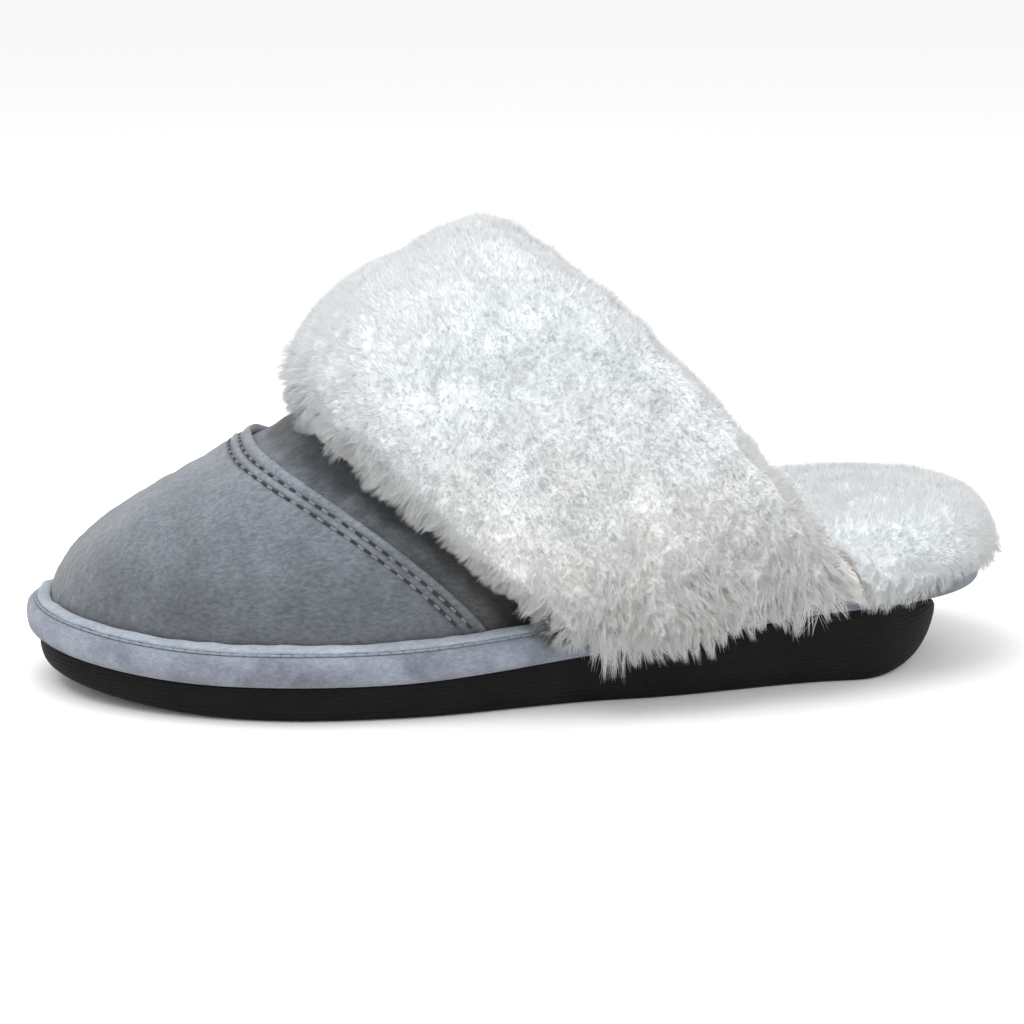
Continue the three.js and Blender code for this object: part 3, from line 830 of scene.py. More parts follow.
@dataclass(frozen=True)
class Form:
    """The shapes that every piece follows: the sole's outline, its levels and the arch of the upper.

    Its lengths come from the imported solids' boxes, and its proportions are fields.
    """

    toe_x: float
    back_x: float
    outer: SoleSide
    inner: SoleSide
    toe_tip_y: float
    sole_toe: float
    sole_heel: float
    bed_rise: float
    heel_seat_from_back: float = 47.0
    toe_roundness: float = 2.2
    heel_roundness: float = 2.1
    wedge_start_from_toe: float = 85.0
    wedge_end_from_back: float = 15.0
    toe_lift: float = 5.0
    toe_lift_length: float = 55.0
    toe_spring: float = 6.5
    toe_spring_length: float = 60.0
    heel_bevel: float = 5.0
    heel_bevel_length: float = 42.0
    feather_inset: float = 7.0
    toe_height: float = 17.4
    rise: float = 0.578
    nose_length: float = 30.0
    nose_roundness: float = 2.3
    fullness: float = 2.3
    seam_curve: float = 2.25
    seam_top_from_toe: float = 63.0
    seam_foot_from_toe: float = 123.0
    rim_curve: float = 2.0
    rim_top_from_toe: float = 122.0
    rim_foot_from_back: float = 50.0
    gap: float = 0.3

    @classmethod
    def from_frame(cls) -> "Form":
        """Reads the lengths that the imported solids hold.

        Returns:
            The slipper's form.
        """
        (toe, outer, _), (back, inner, bed) = corners("rand")
        sole_top = corners("outsole")[1][2]
        platform_low = corners("rand")[0][2]
        gap = cls.gap
        return cls(
            toe_x=toe,
            back_x=back,
            outer=SoleSide(sign=-1, ball_from_toe=97, ball=-outer, waist=45, heel=38),
            inner=SoleSide(sign=1, ball_from_toe=80, ball=inner, waist=39, heel=37),
            toe_tip_y=5,
            sole_toe=platform_low - gap,
            sole_heel=sole_top,
            bed_rise=bed - sole_top,
        )

    @property
    def heel_seat_x(self) -> float:
        """Where the heel's round end begins."""
        return self.back_x - self.heel_seat_from_back

    def half_width(self, side: SoleSide, x: Array, inset: Array) -> Array:
        """Half the width on one side: superellipse quarters at toe and heel, smooth steps between.

        Args:
            side: The side of the sole.
            x: Where along the sole.
            inset: How far the outline is drawn in all round.

        Returns:
            Distances from the middle line.
        """
        x, inset = np.broadcast_arrays(np.asarray(x, float), np.asarray(inset, float))
        ball_x = self.toe_x + side.ball_from_toe
        waist_x = (ball_x + self.heel_seat_x) / 2
        toe = (side.ball - inset) * round_off(
            (ball_x - x) / (ball_x - self.toe_x - inset), self.toe_roundness
        )
        heel = (side.heel - inset) * round_off(
            (x - self.heel_seat_x) / (self.heel_seat_from_back - inset), self.heel_roundness
        )
        fore = mix(side.ball, side.waist, smooth(x, ball_x, waist_x)) - inset
        rear = mix(side.waist, side.heel, smooth(x, waist_x, self.heel_seat_x)) - inset
        middle = np.where(x < waist_x, fore, rear)
        return np.where(x < ball_x, toe, np.where(x > self.heel_seat_x, heel, middle))

    def middle_y(self, x: Array) -> Array:
        """The middle line, which leaves y = 0 towards the toe's tip."""
        ball_x = self.toe_x + self.inner.ball_from_toe
        return self.toe_tip_y * smooth((ball_x - x) / (ball_x - self.toe_x))

    def edge_y(self, side: SoleSide, x: Array, inset: Array) -> Array:
        """The outline's y on one side."""
        return self.middle_y(x) + side.sign * self.half_width(side, x, inset)

    def sole_top(self, x: Array) -> Array:
        """Height of the outsole's top: a parabola up to the toe's tip, a level and a wedge to the heel.

        Args:
            x: Where along the sole.

        Returns:
            Heights over the floor.
        """
        start = self.toe_x + self.wedge_start_from_toe
        wedge = mix(self.sole_toe, self.sole_heel, smooth(x, start, self.back_x - self.wedge_end_from_back))
        lift = np.clip((self.toe_x + self.toe_lift_length - x) / self.toe_lift_length, 0, 1)
        return wedge + self.toe_lift * lift**2

    def sole_bottom(self, x: Array) -> Array:
        """Height of the outsole's bottom: parabolas lift it at the toe and at the heel's back.

        Args:
            x: Where along the sole.

        Returns:
            Heights over the floor.
        """
        toe = np.clip((self.toe_x + self.toe_spring_length - x) / self.toe_spring_length, 0, 1)
        heel = np.clip((x - self.back_x + self.heel_bevel_length) / self.heel_bevel_length, 0, 1)
        return self.toe_spring * toe**2 + self.heel_bevel * heel**2

    def bed_top(self, x: Array) -> Array:
        """Height of the platform's top."""
        return self.sole_top(x) + self.bed_rise

    def foot_z(self, x: Array) -> Array:
        """Height where the upper stands on the platform."""
        return self.bed_top(x) + self.gap

    def ridge(self, x: Array, depth: Array) -> Array:
        """How high the ridge of a layer stands over the platform: a rounded nose, then a straight rise.

        Args:
            x: Where along the sole.
            depth: How far the layer lies under the suede's face.

        Returns:
            Heights over the platform.
        """
        start = self.toe_x + self.feather_inset
        nose = round_off(1 - np.clip((x - start - depth) / self.nose_length, 0, 1), self.nose_roundness)
        return (self.toe_height - depth + self.rise * np.maximum(0, x - start)) * nose

    def arch(self, x: Array, turn: Array, depth: Array) -> Array:
        """Points of a layer of the upper: half a superellipse across, standing on the platform.

        Args:
            x: Where along the sole.
            turn: 0 at the ridge and a quarter turn at the feet.
            depth: How far the layer lies under the suede's face.

        Returns:
            Points with x, y, z along the last axis.
        """
        x, turn, depth = np.broadcast_arrays(*(np.asarray(v, float) for v in (x, turn, depth)))
        inset = self.feather_inset + depth
        low, high = self.edge_y(self.outer, x, inset), self.edge_y(self.inner, x, inset)
        exponent = 2 / self.fullness
        y = (low + high) / 2 + (high - low) / 2 * power(np.sin(turn), exponent)
        z = self.foot_z(x) + self.ridge(x, depth) * power(np.cos(turn), exponent)
        return np.stack([x, y, z], -1)

    def seam_x(self, turn: Array) -> Array:
        """The seam between vamp and collar, as x over the turn."""
        top, foot = self.toe_x + self.seam_top_from_toe, self.toe_x + self.seam_foot_from_toe
        return mix(top, foot, np.abs(turn / QUARTER) ** self.seam_curve)

    def rim_x(self, turn: Array) -> Array:
        """The edge of the opening, as x over the turn."""
        top, foot = self.toe_x + self.rim_top_from_toe, self.back_x - self.rim_foot_from_back
        return mix(top, foot, np.abs(turn / QUARTER) ** self.rim_curve)

    def stations(self, fine: int = 1) -> Array:
        """Places along the sole, close together where the outline turns fast.

        Args:
            fine: How many times finer than the coarsest useful step.

        Returns:
            x from the toe's tip to the heel's back.
        """
        ball_x = self.toe_x + self.inner.ball_from_toe
        ends, waist = 14 * fine, 20 * fine
        toe = mix(self.toe_x, ball_x, 1 - np.cos(np.arange(ends) / ends * QUARTER))
        middle = mix(ball_x, self.heel_seat_x, np.arange(waist) / waist)
        heel = mix(self.heel_seat_x, self.back_x, np.sin(np.arange(ends + 1) / ends * QUARTER))
        return np.concatenate([toe, middle, heel])

    def outline(self, inset: Callable | float, height: Callable, fine: int = 3) -> Array:
        """The sole's outline as a closed ring: from the back up the outer side and down the inner side.

        Args:
            inset: How far it is drawn in, as a number or a function of x.
            height: The height, as a function of x.
            fine: How finely it is divided.

        Returns:
            Points round the sole.
        """
        inset_at = inset if callable(inset) else (lambda x: np.full(np.shape(x), float(inset)))
        x = self.stations(fine)
        toe, back = float(inset_at(self.toe_x)), float(inset_at(self.back_x))
        fore = mix(self.toe_x + toe, 0, (x - self.toe_x) / -self.toe_x)
        x = np.where(x < 0, fore, x * (1 - back / self.back_x))
        outer = np.stack([x, self.edge_y(self.outer, x, inset_at(x)), height(x)], -1)
        inner = np.stack([x, self.edge_y(self.inner, x, inset_at(x)), height(x)], -1)
        return np.concatenate([outer[::-1], inner[1:-1]])


def corners(node: str) -> tuple[Array, Array]:
    """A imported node's lowest and highest corners, in millimetres."""
    low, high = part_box(node)
    return np.array(low) / MM, np.array(high) / MM


def resample(line: Array, pitch: float) -> tuple[Array, Array]:
    """Even steps along a line of points.

    Args:
        line: Points of the line.
        pitch: The step.

    Returns:
        Places at the middle of each step, and the line's unit direction there.
    """
    lengths = np.concatenate([[0], np.cumsum(np.linalg.norm(np.diff(line, axis=0), axis=1))])
    at = np.arange(pitch / 2, lengths[-1] - pitch / 2, pitch)

    def read(s: Array) -> Array:
        """The points at some lengths along the line."""
        return np.stack([np.interp(s, lengths, line[:, i]) for i in range(3)], -1)

    return read(at), unit(read(at + pitch / 4) - read(at - pitch / 4))


# --------------------------------------------------------------------------------------------- wool


@dataclass(frozen=True)
class Pile:
    """How wool stands on a surface. Lengths are in millimetres."""

    per_mm2: float
    length: float
    width: float = 0.09
    tuft: float = 9.0
    lock: float = 1.7
    gather: float = 0.05
    lean: float = 0.05
    stray: float = 0.2
    droop: float = 0.05
    curl: float = 0.06
    root_depth: float = 0.6
    straight_share: float = 0.95
    roundness: float = 0.04
    uneven: float = 0.12


SHORT_PILE = Pile(per_mm2=6.3, length=2.5, width=0.092)


@dataclass
class Ground:
    """A stretch of surface that wool grows on, as grids of equal shape.

    The comb is what turns the wool's heading, the length multiplies the pile's, and keep is the share
    of the pile that grows.
    """

    points: Array
    normals: Array
    comb: Array | float = 0.0
    length: Array | float = 1.0
    keep: Array | float = 1.0

    def grid(self, value: Array | float) -> Array:
        """Spreads a value over the grid.

        Args:
            value: A number, a grid of numbers or a grid of vectors.

        Returns:
            A value for each point of the grid, along a last axis.
        """
        value = np.asarray(value, float)
        if value.ndim == 3:
            return np.broadcast_to(value, self.points.shape)
        return np.broadcast_to(value, self.points.shape[:2])[..., None]


def lattice_cells(points: Array, size: float, seed: int) -> Array:
    """Sorts points into irregular cells: a cubic lattice whose walls are bent by noise.

    Args:
        points: Places.
        size: The cell's width.
        seed: Which noise bends the walls.

    Returns:
        The number of each point's cell.
    """
    bend = np.stack([ripple(points, size * 2.5, seed + i, 8) for i in range(3)], -1)
    keys = np.floor((points + bend * size * 0.35) / size).astype(np.int64)
    keys -= keys.min(0)
    spans = keys.max(0) + 1
    flat = (keys[:, 0] * spans[1] + keys[:, 1]) * spans[2] + keys[:, 2]
    return np.unique(flat, return_inverse=True)[1].reshape(-1)


def group_means(values: Array, group: Array) -> Array:
    """The mean of each point's group, at each point."""
    size = np.bincount(group)
    return np.stack([np.bincount(group, values[:, i]) / size for i in range(3)], -1)[group]


def grow(name: str, ground: Ground, pile: Pile, material: bpy.types.Material, seed: int) -> None:
    """Grows wool: closed three-sided spikes whose tips gather into locks, as pieces of limited size.

    A root is a random place in a cell of the grid, chosen by area. Its tip lies along the surface's
    normal, turned by the comb, a lean that each tuft shares and gravity, and is drawn to its lock's
    middle tip. A bent spike has a second ring of points half-way, moved towards the normal.

    Args:
        name: The first part of the pieces' names.
        ground: Where it grows.
        pile: How it stands.
        material: The wool.
        seed: Which random draw.
    """
    rng = np.random.default_rng(seed)
    p = ground.points
    keep = ground.grid(ground.keep)[:-1, :-1, 0]
    area = np.linalg.norm(np.cross(p[1:, 1:] - p[:-1, :-1], p[:-1, 1:] - p[1:, :-1]), axis=-1) / 2 * keep
    count = int(area.sum() * pile.per_mm2)
    row, column = np.unravel_index(rng.choice(area.size, count, p=(area / area.sum()).ravel()), area.shape)
    u, v = rng.random((2, count, 1))

    def read(value: Array | float) -> Array:
        """Reads the ground at each root, as a bilinear mix of its cell's four corners.

        Args:
            value: One of the ground's grids.

        Returns:
            The value at each root.
        """
        g = ground.grid(value)
        low = g[row, column] * (1 - u) + g[row + 1, column] * u
        return low * (1 - v) + (g[row, column + 1] * (1 - u) + g[row + 1, column + 1] * u) * v

    normal = unit(read(ground.normals))
    root = read(p) - normal * pile.root_depth
    tuft = lattice_cells(root, pile.tuft, seed + 10)
    of_tuft = rng.normal(size=(tuft.max() + 1, 4))[tuft]
    down = np.array([0, 0, -pile.droop])
    stray = rng.normal(size=(count, 3)) * pile.stray
    heading = unit(normal + read(ground.comb) + of_tuft[:, :3] * pile.lean + down + stray)
    length = pile.length * read(ground.length) * (1 + pile.uneven * of_tuft[:, 3:])
    length = length * rng.uniform(0.7, 1.1, (count, 1)) + pile.root_depth
    tip = root + heading * length
    pull = pile.gather * rng.uniform(0.6, 1.1, (count, 1))
    tip = mix(tip, group_means(tip, lattice_cells(root, pile.lock, seed + 20)), np.clip(pull, 0, 0.95))
    bend = (root + tip) / 2 + (normal - heading) * length * 0.3
    bend += rng.normal(size=(count, 3)) * length * pile.curl
    strands = Strands(root, bend, tip, normal, tuft, rng.random(count) < pile.straight_share)
    order = np.argsort(tuft, kind="stable")
    for i, chosen in enumerate(np.array_split(order, math.ceil(strands.triangles() / PIECE_LIMIT)), 1):
        strands.only(np.sort(chosen)).make(f"{name}_{i}", pile, material, rng)


@dataclass
class Strands:
    """Wool strands: where each starts, bends and ends, its ground's normal, its tuft, if it is straight."""

    root: Array
    bend: Array
    tip: Array
    normal: Array
    tuft: Array
    straight: Array

    # Corners of a strand's faces: 0 to 2 are its foot, 3 to 5 its knee where it bends, then its tip.
    BENT = (
        (0, 2, 1), (0, 1, 4), (0, 4, 3), (3, 4, 6), (1, 2, 5),
        (1, 5, 4), (4, 5, 6), (2, 0, 3), (2, 3, 5), (5, 3, 6),
    )
    STRAIGHT = ((0, 2, 1), (0, 1, 3), (1, 2, 3), (2, 0, 3))

    def triangles(self) -> int:
        """How many faces the strands need."""
        return len(self.STRAIGHT) * int(self.straight.sum()) + len(self.BENT) * int((~self.straight).sum())

    def only(self, chosen: Array) -> "Strands":
        """Some of the strands."""
        return Strands(*(getattr(self, part.name)[chosen] for part in fields(self)))

    def make(self, name: str, pile: Pile, material: bpy.types.Material, rng: np.random.Generator) -> None:
        """Puts the strands into one piece, with soft normals and a map for its finish.

        Args:
            name: The piece's name.
            pile: How the wool stands.
            material: The wool.
            rng: The random draw.
        """
        axis = unit(self.tip - self.root)
        side = unit(np.cross(axis, rng.normal(size=axis.shape)))
        angle = np.arange(3)[None, :, None] * 2 * math.pi / 3
        spoke = np.cos(angle) * side[:, None] + np.sin(angle) * np.cross(axis, side)[:, None]
        reach = spoke * pile.width * rng.uniform(0.75, 1.25, (len(axis), 1, 1))
        foot, knee = self.root[:, None] + reach, self.bend[:, None] + reach * 0.75
        soft = unit(self.normal[:, None] + pile.roundness * spoke)
        end = unit(self.normal + pile.roundness * axis)[:, None]
        bent, straight = ~self.straight, self.straight
        points = np.concatenate([
            np.concatenate([foot[bent], knee[bent], self.tip[bent][:, None]], 1).reshape(-1, 3),
            np.concatenate([foot[straight], self.tip[straight][:, None]], 1).reshape(-1, 3),
        ])
        shade = np.concatenate([
            np.concatenate([soft[bent], soft[bent], end[bent]], 1).reshape(-1, 3),
            np.concatenate([soft[straight], end[straight]], 1).reshape(-1, 3),
        ])
        bent_starts = np.arange(bent.sum()) * 7
        straight_starts = np.arange(straight.sum()) * 4 + bent.sum() * 7
        faces = np.concatenate([
            (np.array(form) + starts[:, None, None]).reshape(-1, 3)
            for form, starts in ((self.BENT, bent_starts), (self.STRAIGHT, straight_starts))
        ])
        piece = make_piece(name, Surface(points, faces), material, Slot.WOOL)
        layer = piece.data.uv_layers.new(name=BAKE_MAP)
        layer.uv.foreach_set("vector", self.map(bent, straight).astype(np.float32).ravel())
        piece.data.normals_split_custom_set_from_vertices(shade.astype(np.float32))

    def map(self, bent: Array, straight: Array) -> Array:
        """Where each face's corners lie on the map: a small square for each tuft, foot low and tip high.

        Args:
            bent: Which strands bend.
            straight: Which don't.

        Returns:
            A place from 0 to 1 for each corner of each face.
        """
        base = [(0.1, 0.02), (0.9, 0.02), (0.5, 0.12)]
        foot, knee, tip = 0.14, 0.6, 0.98
        bent_form, straight_form = list(base), list(base)
        for left, right in [(0.02 + 0.32 * i, 0.32 + 0.32 * i) for i in range(3)]:
            middle = (left + right) / 2
            bent_form += [(left, foot), (right, foot), (right, knee)]
            bent_form += [(left, foot), (right, knee), (left, knee)]
            bent_form += [(left, knee), (right, knee), (middle, tip)]
            straight_form += [(left, foot), (right, foot), (middle, tip)]
        patch = np.unique(self.tuft, return_inverse=True)[1].reshape(-1)
        across = math.ceil(math.sqrt(patch.max() + 1))
        corner = np.stack([patch % across, patch // across], -1)[:, None]
        forms = ((bent, bent_form), (straight, straight_form))
        return np.concatenate([((corner[k] + np.array(form)) / across).reshape(-1, 2) for k, form in forms])


# --------------------------------------------------------------------------------------- assemblies


def dress_node(node: str, material: bpy.types.Material) -> None:
    """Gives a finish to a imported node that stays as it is.

    Args:
        node: The node's name.
        material: Its finish.
    """
    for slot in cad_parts[node].material_slots:
        slot.material = material
    LOG.info("%s: packed solid, dressed in %s", node, material.name)


@dataclass
class Platform:
    """The outsole and everything that lies between it and the foot."""

    form: Form
    shop: Workshop
    sole_inset: float = 3.5
    sole_back_inset: float = 18.5
    toe_edge_round: float = 6.0
    side_edge_round: float = 3.0
    edge_round_change: tuple[float, float] = (20.0, 80.0)
    rand_turn_under: float = 12.0
    rand_thickness: float = 1.4
    rand_bulge: float = 3.2
    rand_relief: Layers = ((0.25, 17, 3), (0.16, 5, 4))
    flange_width: float = 3.7
    flange_height: float = 2.1
    flange_back_steps: int = 44
    flange_relief: Layers = ((0.14, 9, 8),)
    edge_stitch_pitch: float = 3.2
    edge_stitch_length: float = 3.4
    edge_stitch_radius: float = 0.44
    tread_depth: float = 1.6
    tread_pitch: float = 9.0
    tread_wave: float = 3.0
    tread_wave_length: float = 34.0
    tread_from_ends: float = 46.0
    tread_from_sides: float = 8.0
    tread_fore_end_x: float = -12.0
    tread_rear_start_x: float = 42.0
    tread_fade: float = 4.0

    # The outsole's wall from the ground up: share of its height, share of the bottom edge's rounding
    # and extra inset at the heel's back, where a shallow groove runs under the rand.
    WALL = (
        (0.0, 1.0, 7.5), (0.012, 0.8, 6.0), (0.04, 0.56, 4.4), (0.09, 0.36, 2.4), (0.17, 0.2, 0.6),
        (0.28, 0.1, -1.2), (0.42, 0.04, -2.6), (0.55, 0.0, -3.3), (0.66, 0.0, -3.4), (0.73, 0.0, -2.6),
        (0.78, 0.01, -0.8), (0.84, 0.02, 1.2), (0.91, 0.03, 2.0), (0.97, 0.04, 2.2), (1.0, 0.1, 2.6),
    )

    def build(self) -> None:
        """Makes the platform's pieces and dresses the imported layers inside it."""
        self.make_outsole()
        self.make_rand()
        self.make_flange()
        self.dress_layers()

    def make_outsole(self) -> None:
        """The wedge: rings of the outline up its wall, a level top and a tread below."""
        form = self.form

        start, end = (form.toe_x + far for far in self.edge_round_change)

        def backwards(x: Array) -> Array:
            """0 in front of the heel's bevel and 1 at the heel's back."""
            return smooth(x, form.back_x - form.heel_bevel_length, form.back_x)

        def ring_at(share: float, rounding: float, extra: float) -> Array:
            """One ring of the wall.

            Args:
                share: Its share of the wall's height.
                rounding: Its share of the bottom edge's rounding.
                extra: How much further it is drawn in at the heel's back.

            Returns:
                Points round the sole.
            """

            def inset(x: Array) -> Array:
                """How far the ring is drawn in at x."""
                edge = mix(self.toe_edge_round, self.side_edge_round, smooth(x, start, end))
                return mix(self.sole_inset, self.sole_back_inset + extra, backwards(x)) + rounding * edge

            return form.outline(inset, lambda x: mix(form.sole_bottom(x), form.sole_top(x), share), 4)

        rings = np.stack([ring_at(*row) for row in self.WALL])
        whole = slab(rings, self.cut_tread(rungs(rings[0], 90)), rungs(rings[-1], 90))
        rubber = RubberFinish("outsole_rubber").material(self.shop)
        make_piece("outsole_wedge", whole, rubber, Slot.RUBBER, ("outsole",))

    def cut_tread(self, grid: Array) -> Array:
        """Grooves in the underside: bands of x + wave sin(2 pi y / wave length), in two fields.

        Args:
            grid: The underside, from toe to heel and from the outer to the inner side.

        Returns:
            The underside with its grooves.
        """
        form = self.form
        x, y = grid[..., 0], grid[..., 1]
        bent = x + self.tread_wave * np.sin(2 * math.pi * y / self.tread_wave_length)
        groove = smooth(np.cos(2 * math.pi * bent / self.tread_pitch), 0.3, 0.7)
        margin = np.minimum(y - grid[:, :1, 1], grid[:, -1:, 1] - y)
        fade = self.tread_fade
        toe, heel = form.toe_x + self.tread_from_ends, self.tread_from_ends - form.back_x
        middle, rear_start = -self.tread_fore_end_x, self.tread_rear_start_x
        fore = smooth(x, toe, toe + fade) * smooth(-x, middle, middle + fade)
        rear = smooth(x, rear_start, rear_start + fade) * smooth(-x, heel, heel + fade)
        inside = smooth(margin, self.tread_from_sides, self.tread_from_sides + fade / 2)
        lifted = grid.copy()
        lifted[..., 2] += self.tread_depth * groove * inside * (fore + rear)
        return lifted

    def make_rand(self) -> None:
        """The suede band: a C section with a fully rounded outside, carried round the outline."""
        form = self.form
        turn = np.linspace(-QUARTER, QUARTER, 17)
        bulge = self.rand_bulge * (1 - np.cos(turn) ** 0.75)
        inside = slice(None, None, -2)
        top_edge = form.feather_inset - form.gap / 2
        section = [(self.rand_turn_under, 0.0), *zip(bulge, 0.5 + 0.5 * np.sin(turn))]
        section += [(top_edge, 1.0), (top_edge, 0.84)]
        section += [*zip(bulge[inside] + self.rand_thickness, 0.5 + 0.34 * np.sin(turn[inside]))]
        section += [(self.rand_turn_under, 0.16)]

        def loop(inset: float, share: float) -> Array:
            """The outline at a share of the band's height."""
            return form.outline(inset, lambda x: mix(form.sole_top(x) + form.gap, form.bed_top(x), share), 4)

        rings = np.stack([loop(*row) for row in section])
        outside = np.zeros((len(section), 1))
        outside[3:16, 0] = np.cos(np.linspace(-1.2, 1.2, 13))
        sag = relief(rings, self.rand_relief) * outside
        middle = form.middle_y(rings[..., 0])
        away = unit(np.stack([rings[..., 0] / 2, rings[..., 1] - middle], -1))
        rings[..., :2] += away * np.minimum(sag, 0.05)[..., None]
        band = ring(rings)
        # Painted shade: darker along the rand's lowest 2.6 mm, where it meets the sole, and towards the
        # heel, under the fleece that hangs over it.
        band.painted_shading = 0.25 * smooth(form.sole_top(band.points[:, 0]) + 2.6 - band.points[:, 2], 0, 2.4)
        band.painted_shading += 0.42 * smooth(band.points[:, 0], 60, 110)
        make_piece("rand_wrap", band, RAND_SUEDE.material(self.shop), Slot.RAND, ("rand",))

    def make_flange(self) -> None:
        """The narrow suede flange between rand and upper, and the stitches in the groove beside it."""
        form = self.form
        inner, outer = form.feather_inset - 0.2, form.feather_inset - self.flange_width
        # How far each corner of the section is drawn in, and its height, from the inner foot outwards.
        section = [
            (inner, 0.1), (outer + 0.3, 0.1), (outer - 0.1, 0.6), (outer, 1.15), (outer + 0.4, 1.6),
            (outer + 1.1, 1.9), (inner - 1.3, self.flange_height), (inner - 0.5, 2.0), (inner, 1.5),
        ]

        def loop(inset: float, lift: float) -> Array:
            """The outline over the platform, without its stretch at the back.

            Args:
                inset: How far it is drawn in.
                lift: How high it lies over the platform's clearance.

            Returns:
                Points from the outer side's rear round the toe to the inner side's.
            """
            points = form.outline(inset, lambda x: form.bed_top(x) + form.gap + lift, 4)
            half = len(points) // 2
            return points[np.abs(np.arange(len(points)) - half) < half - self.flange_back_steps]

        sections = np.stack([loop(*row) for row in section], 1)
        flange = tube(sections)
        flange.points[:, 2] += relief(flange.points, self.flange_relief)
        suede = FLANGE_SUEDE.material(self.shop)
        make_piece("welt_flange", flange, suede, Slot.RAND, ("welt_strip",))
        places, along = resample(loop(outer - 0.35, 0.12), self.edge_stitch_pitch)
        stitches = capsules(places, along, UP, self.edge_stitch_length, self.edge_stitch_radius)
        make_piece("welt_stitches", stitches, PALE_THREAD.material(self.shop), Slot.THREAD, ("welt_thread",))

    def dress_layers(self) -> None:
        """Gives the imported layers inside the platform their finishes."""
        finishes = {
            "bottom_filler": PlainFinish("filler_foam", (0.55, 0.5, 0.42), (0.7, 0.66, 0.57), 0.9),
            "insole_board": PlainFinish("fibre_board", (0.25, 0.17, 0.1), (0.42, 0.3, 0.18), 0.85),
            "cushion_foam": PlainFinish("cushion_foam", (0.6, 0.56, 0.48), (0.76, 0.72, 0.63), 0.9),
            "footbed_skin": PlainFinish("footbed_hide", (0.5, 0.44, 0.36), (0.66, 0.6, 0.51), 0.9),
        }
        for node, finish in finishes.items():
            dress_node(node, finish.material(self.shop))


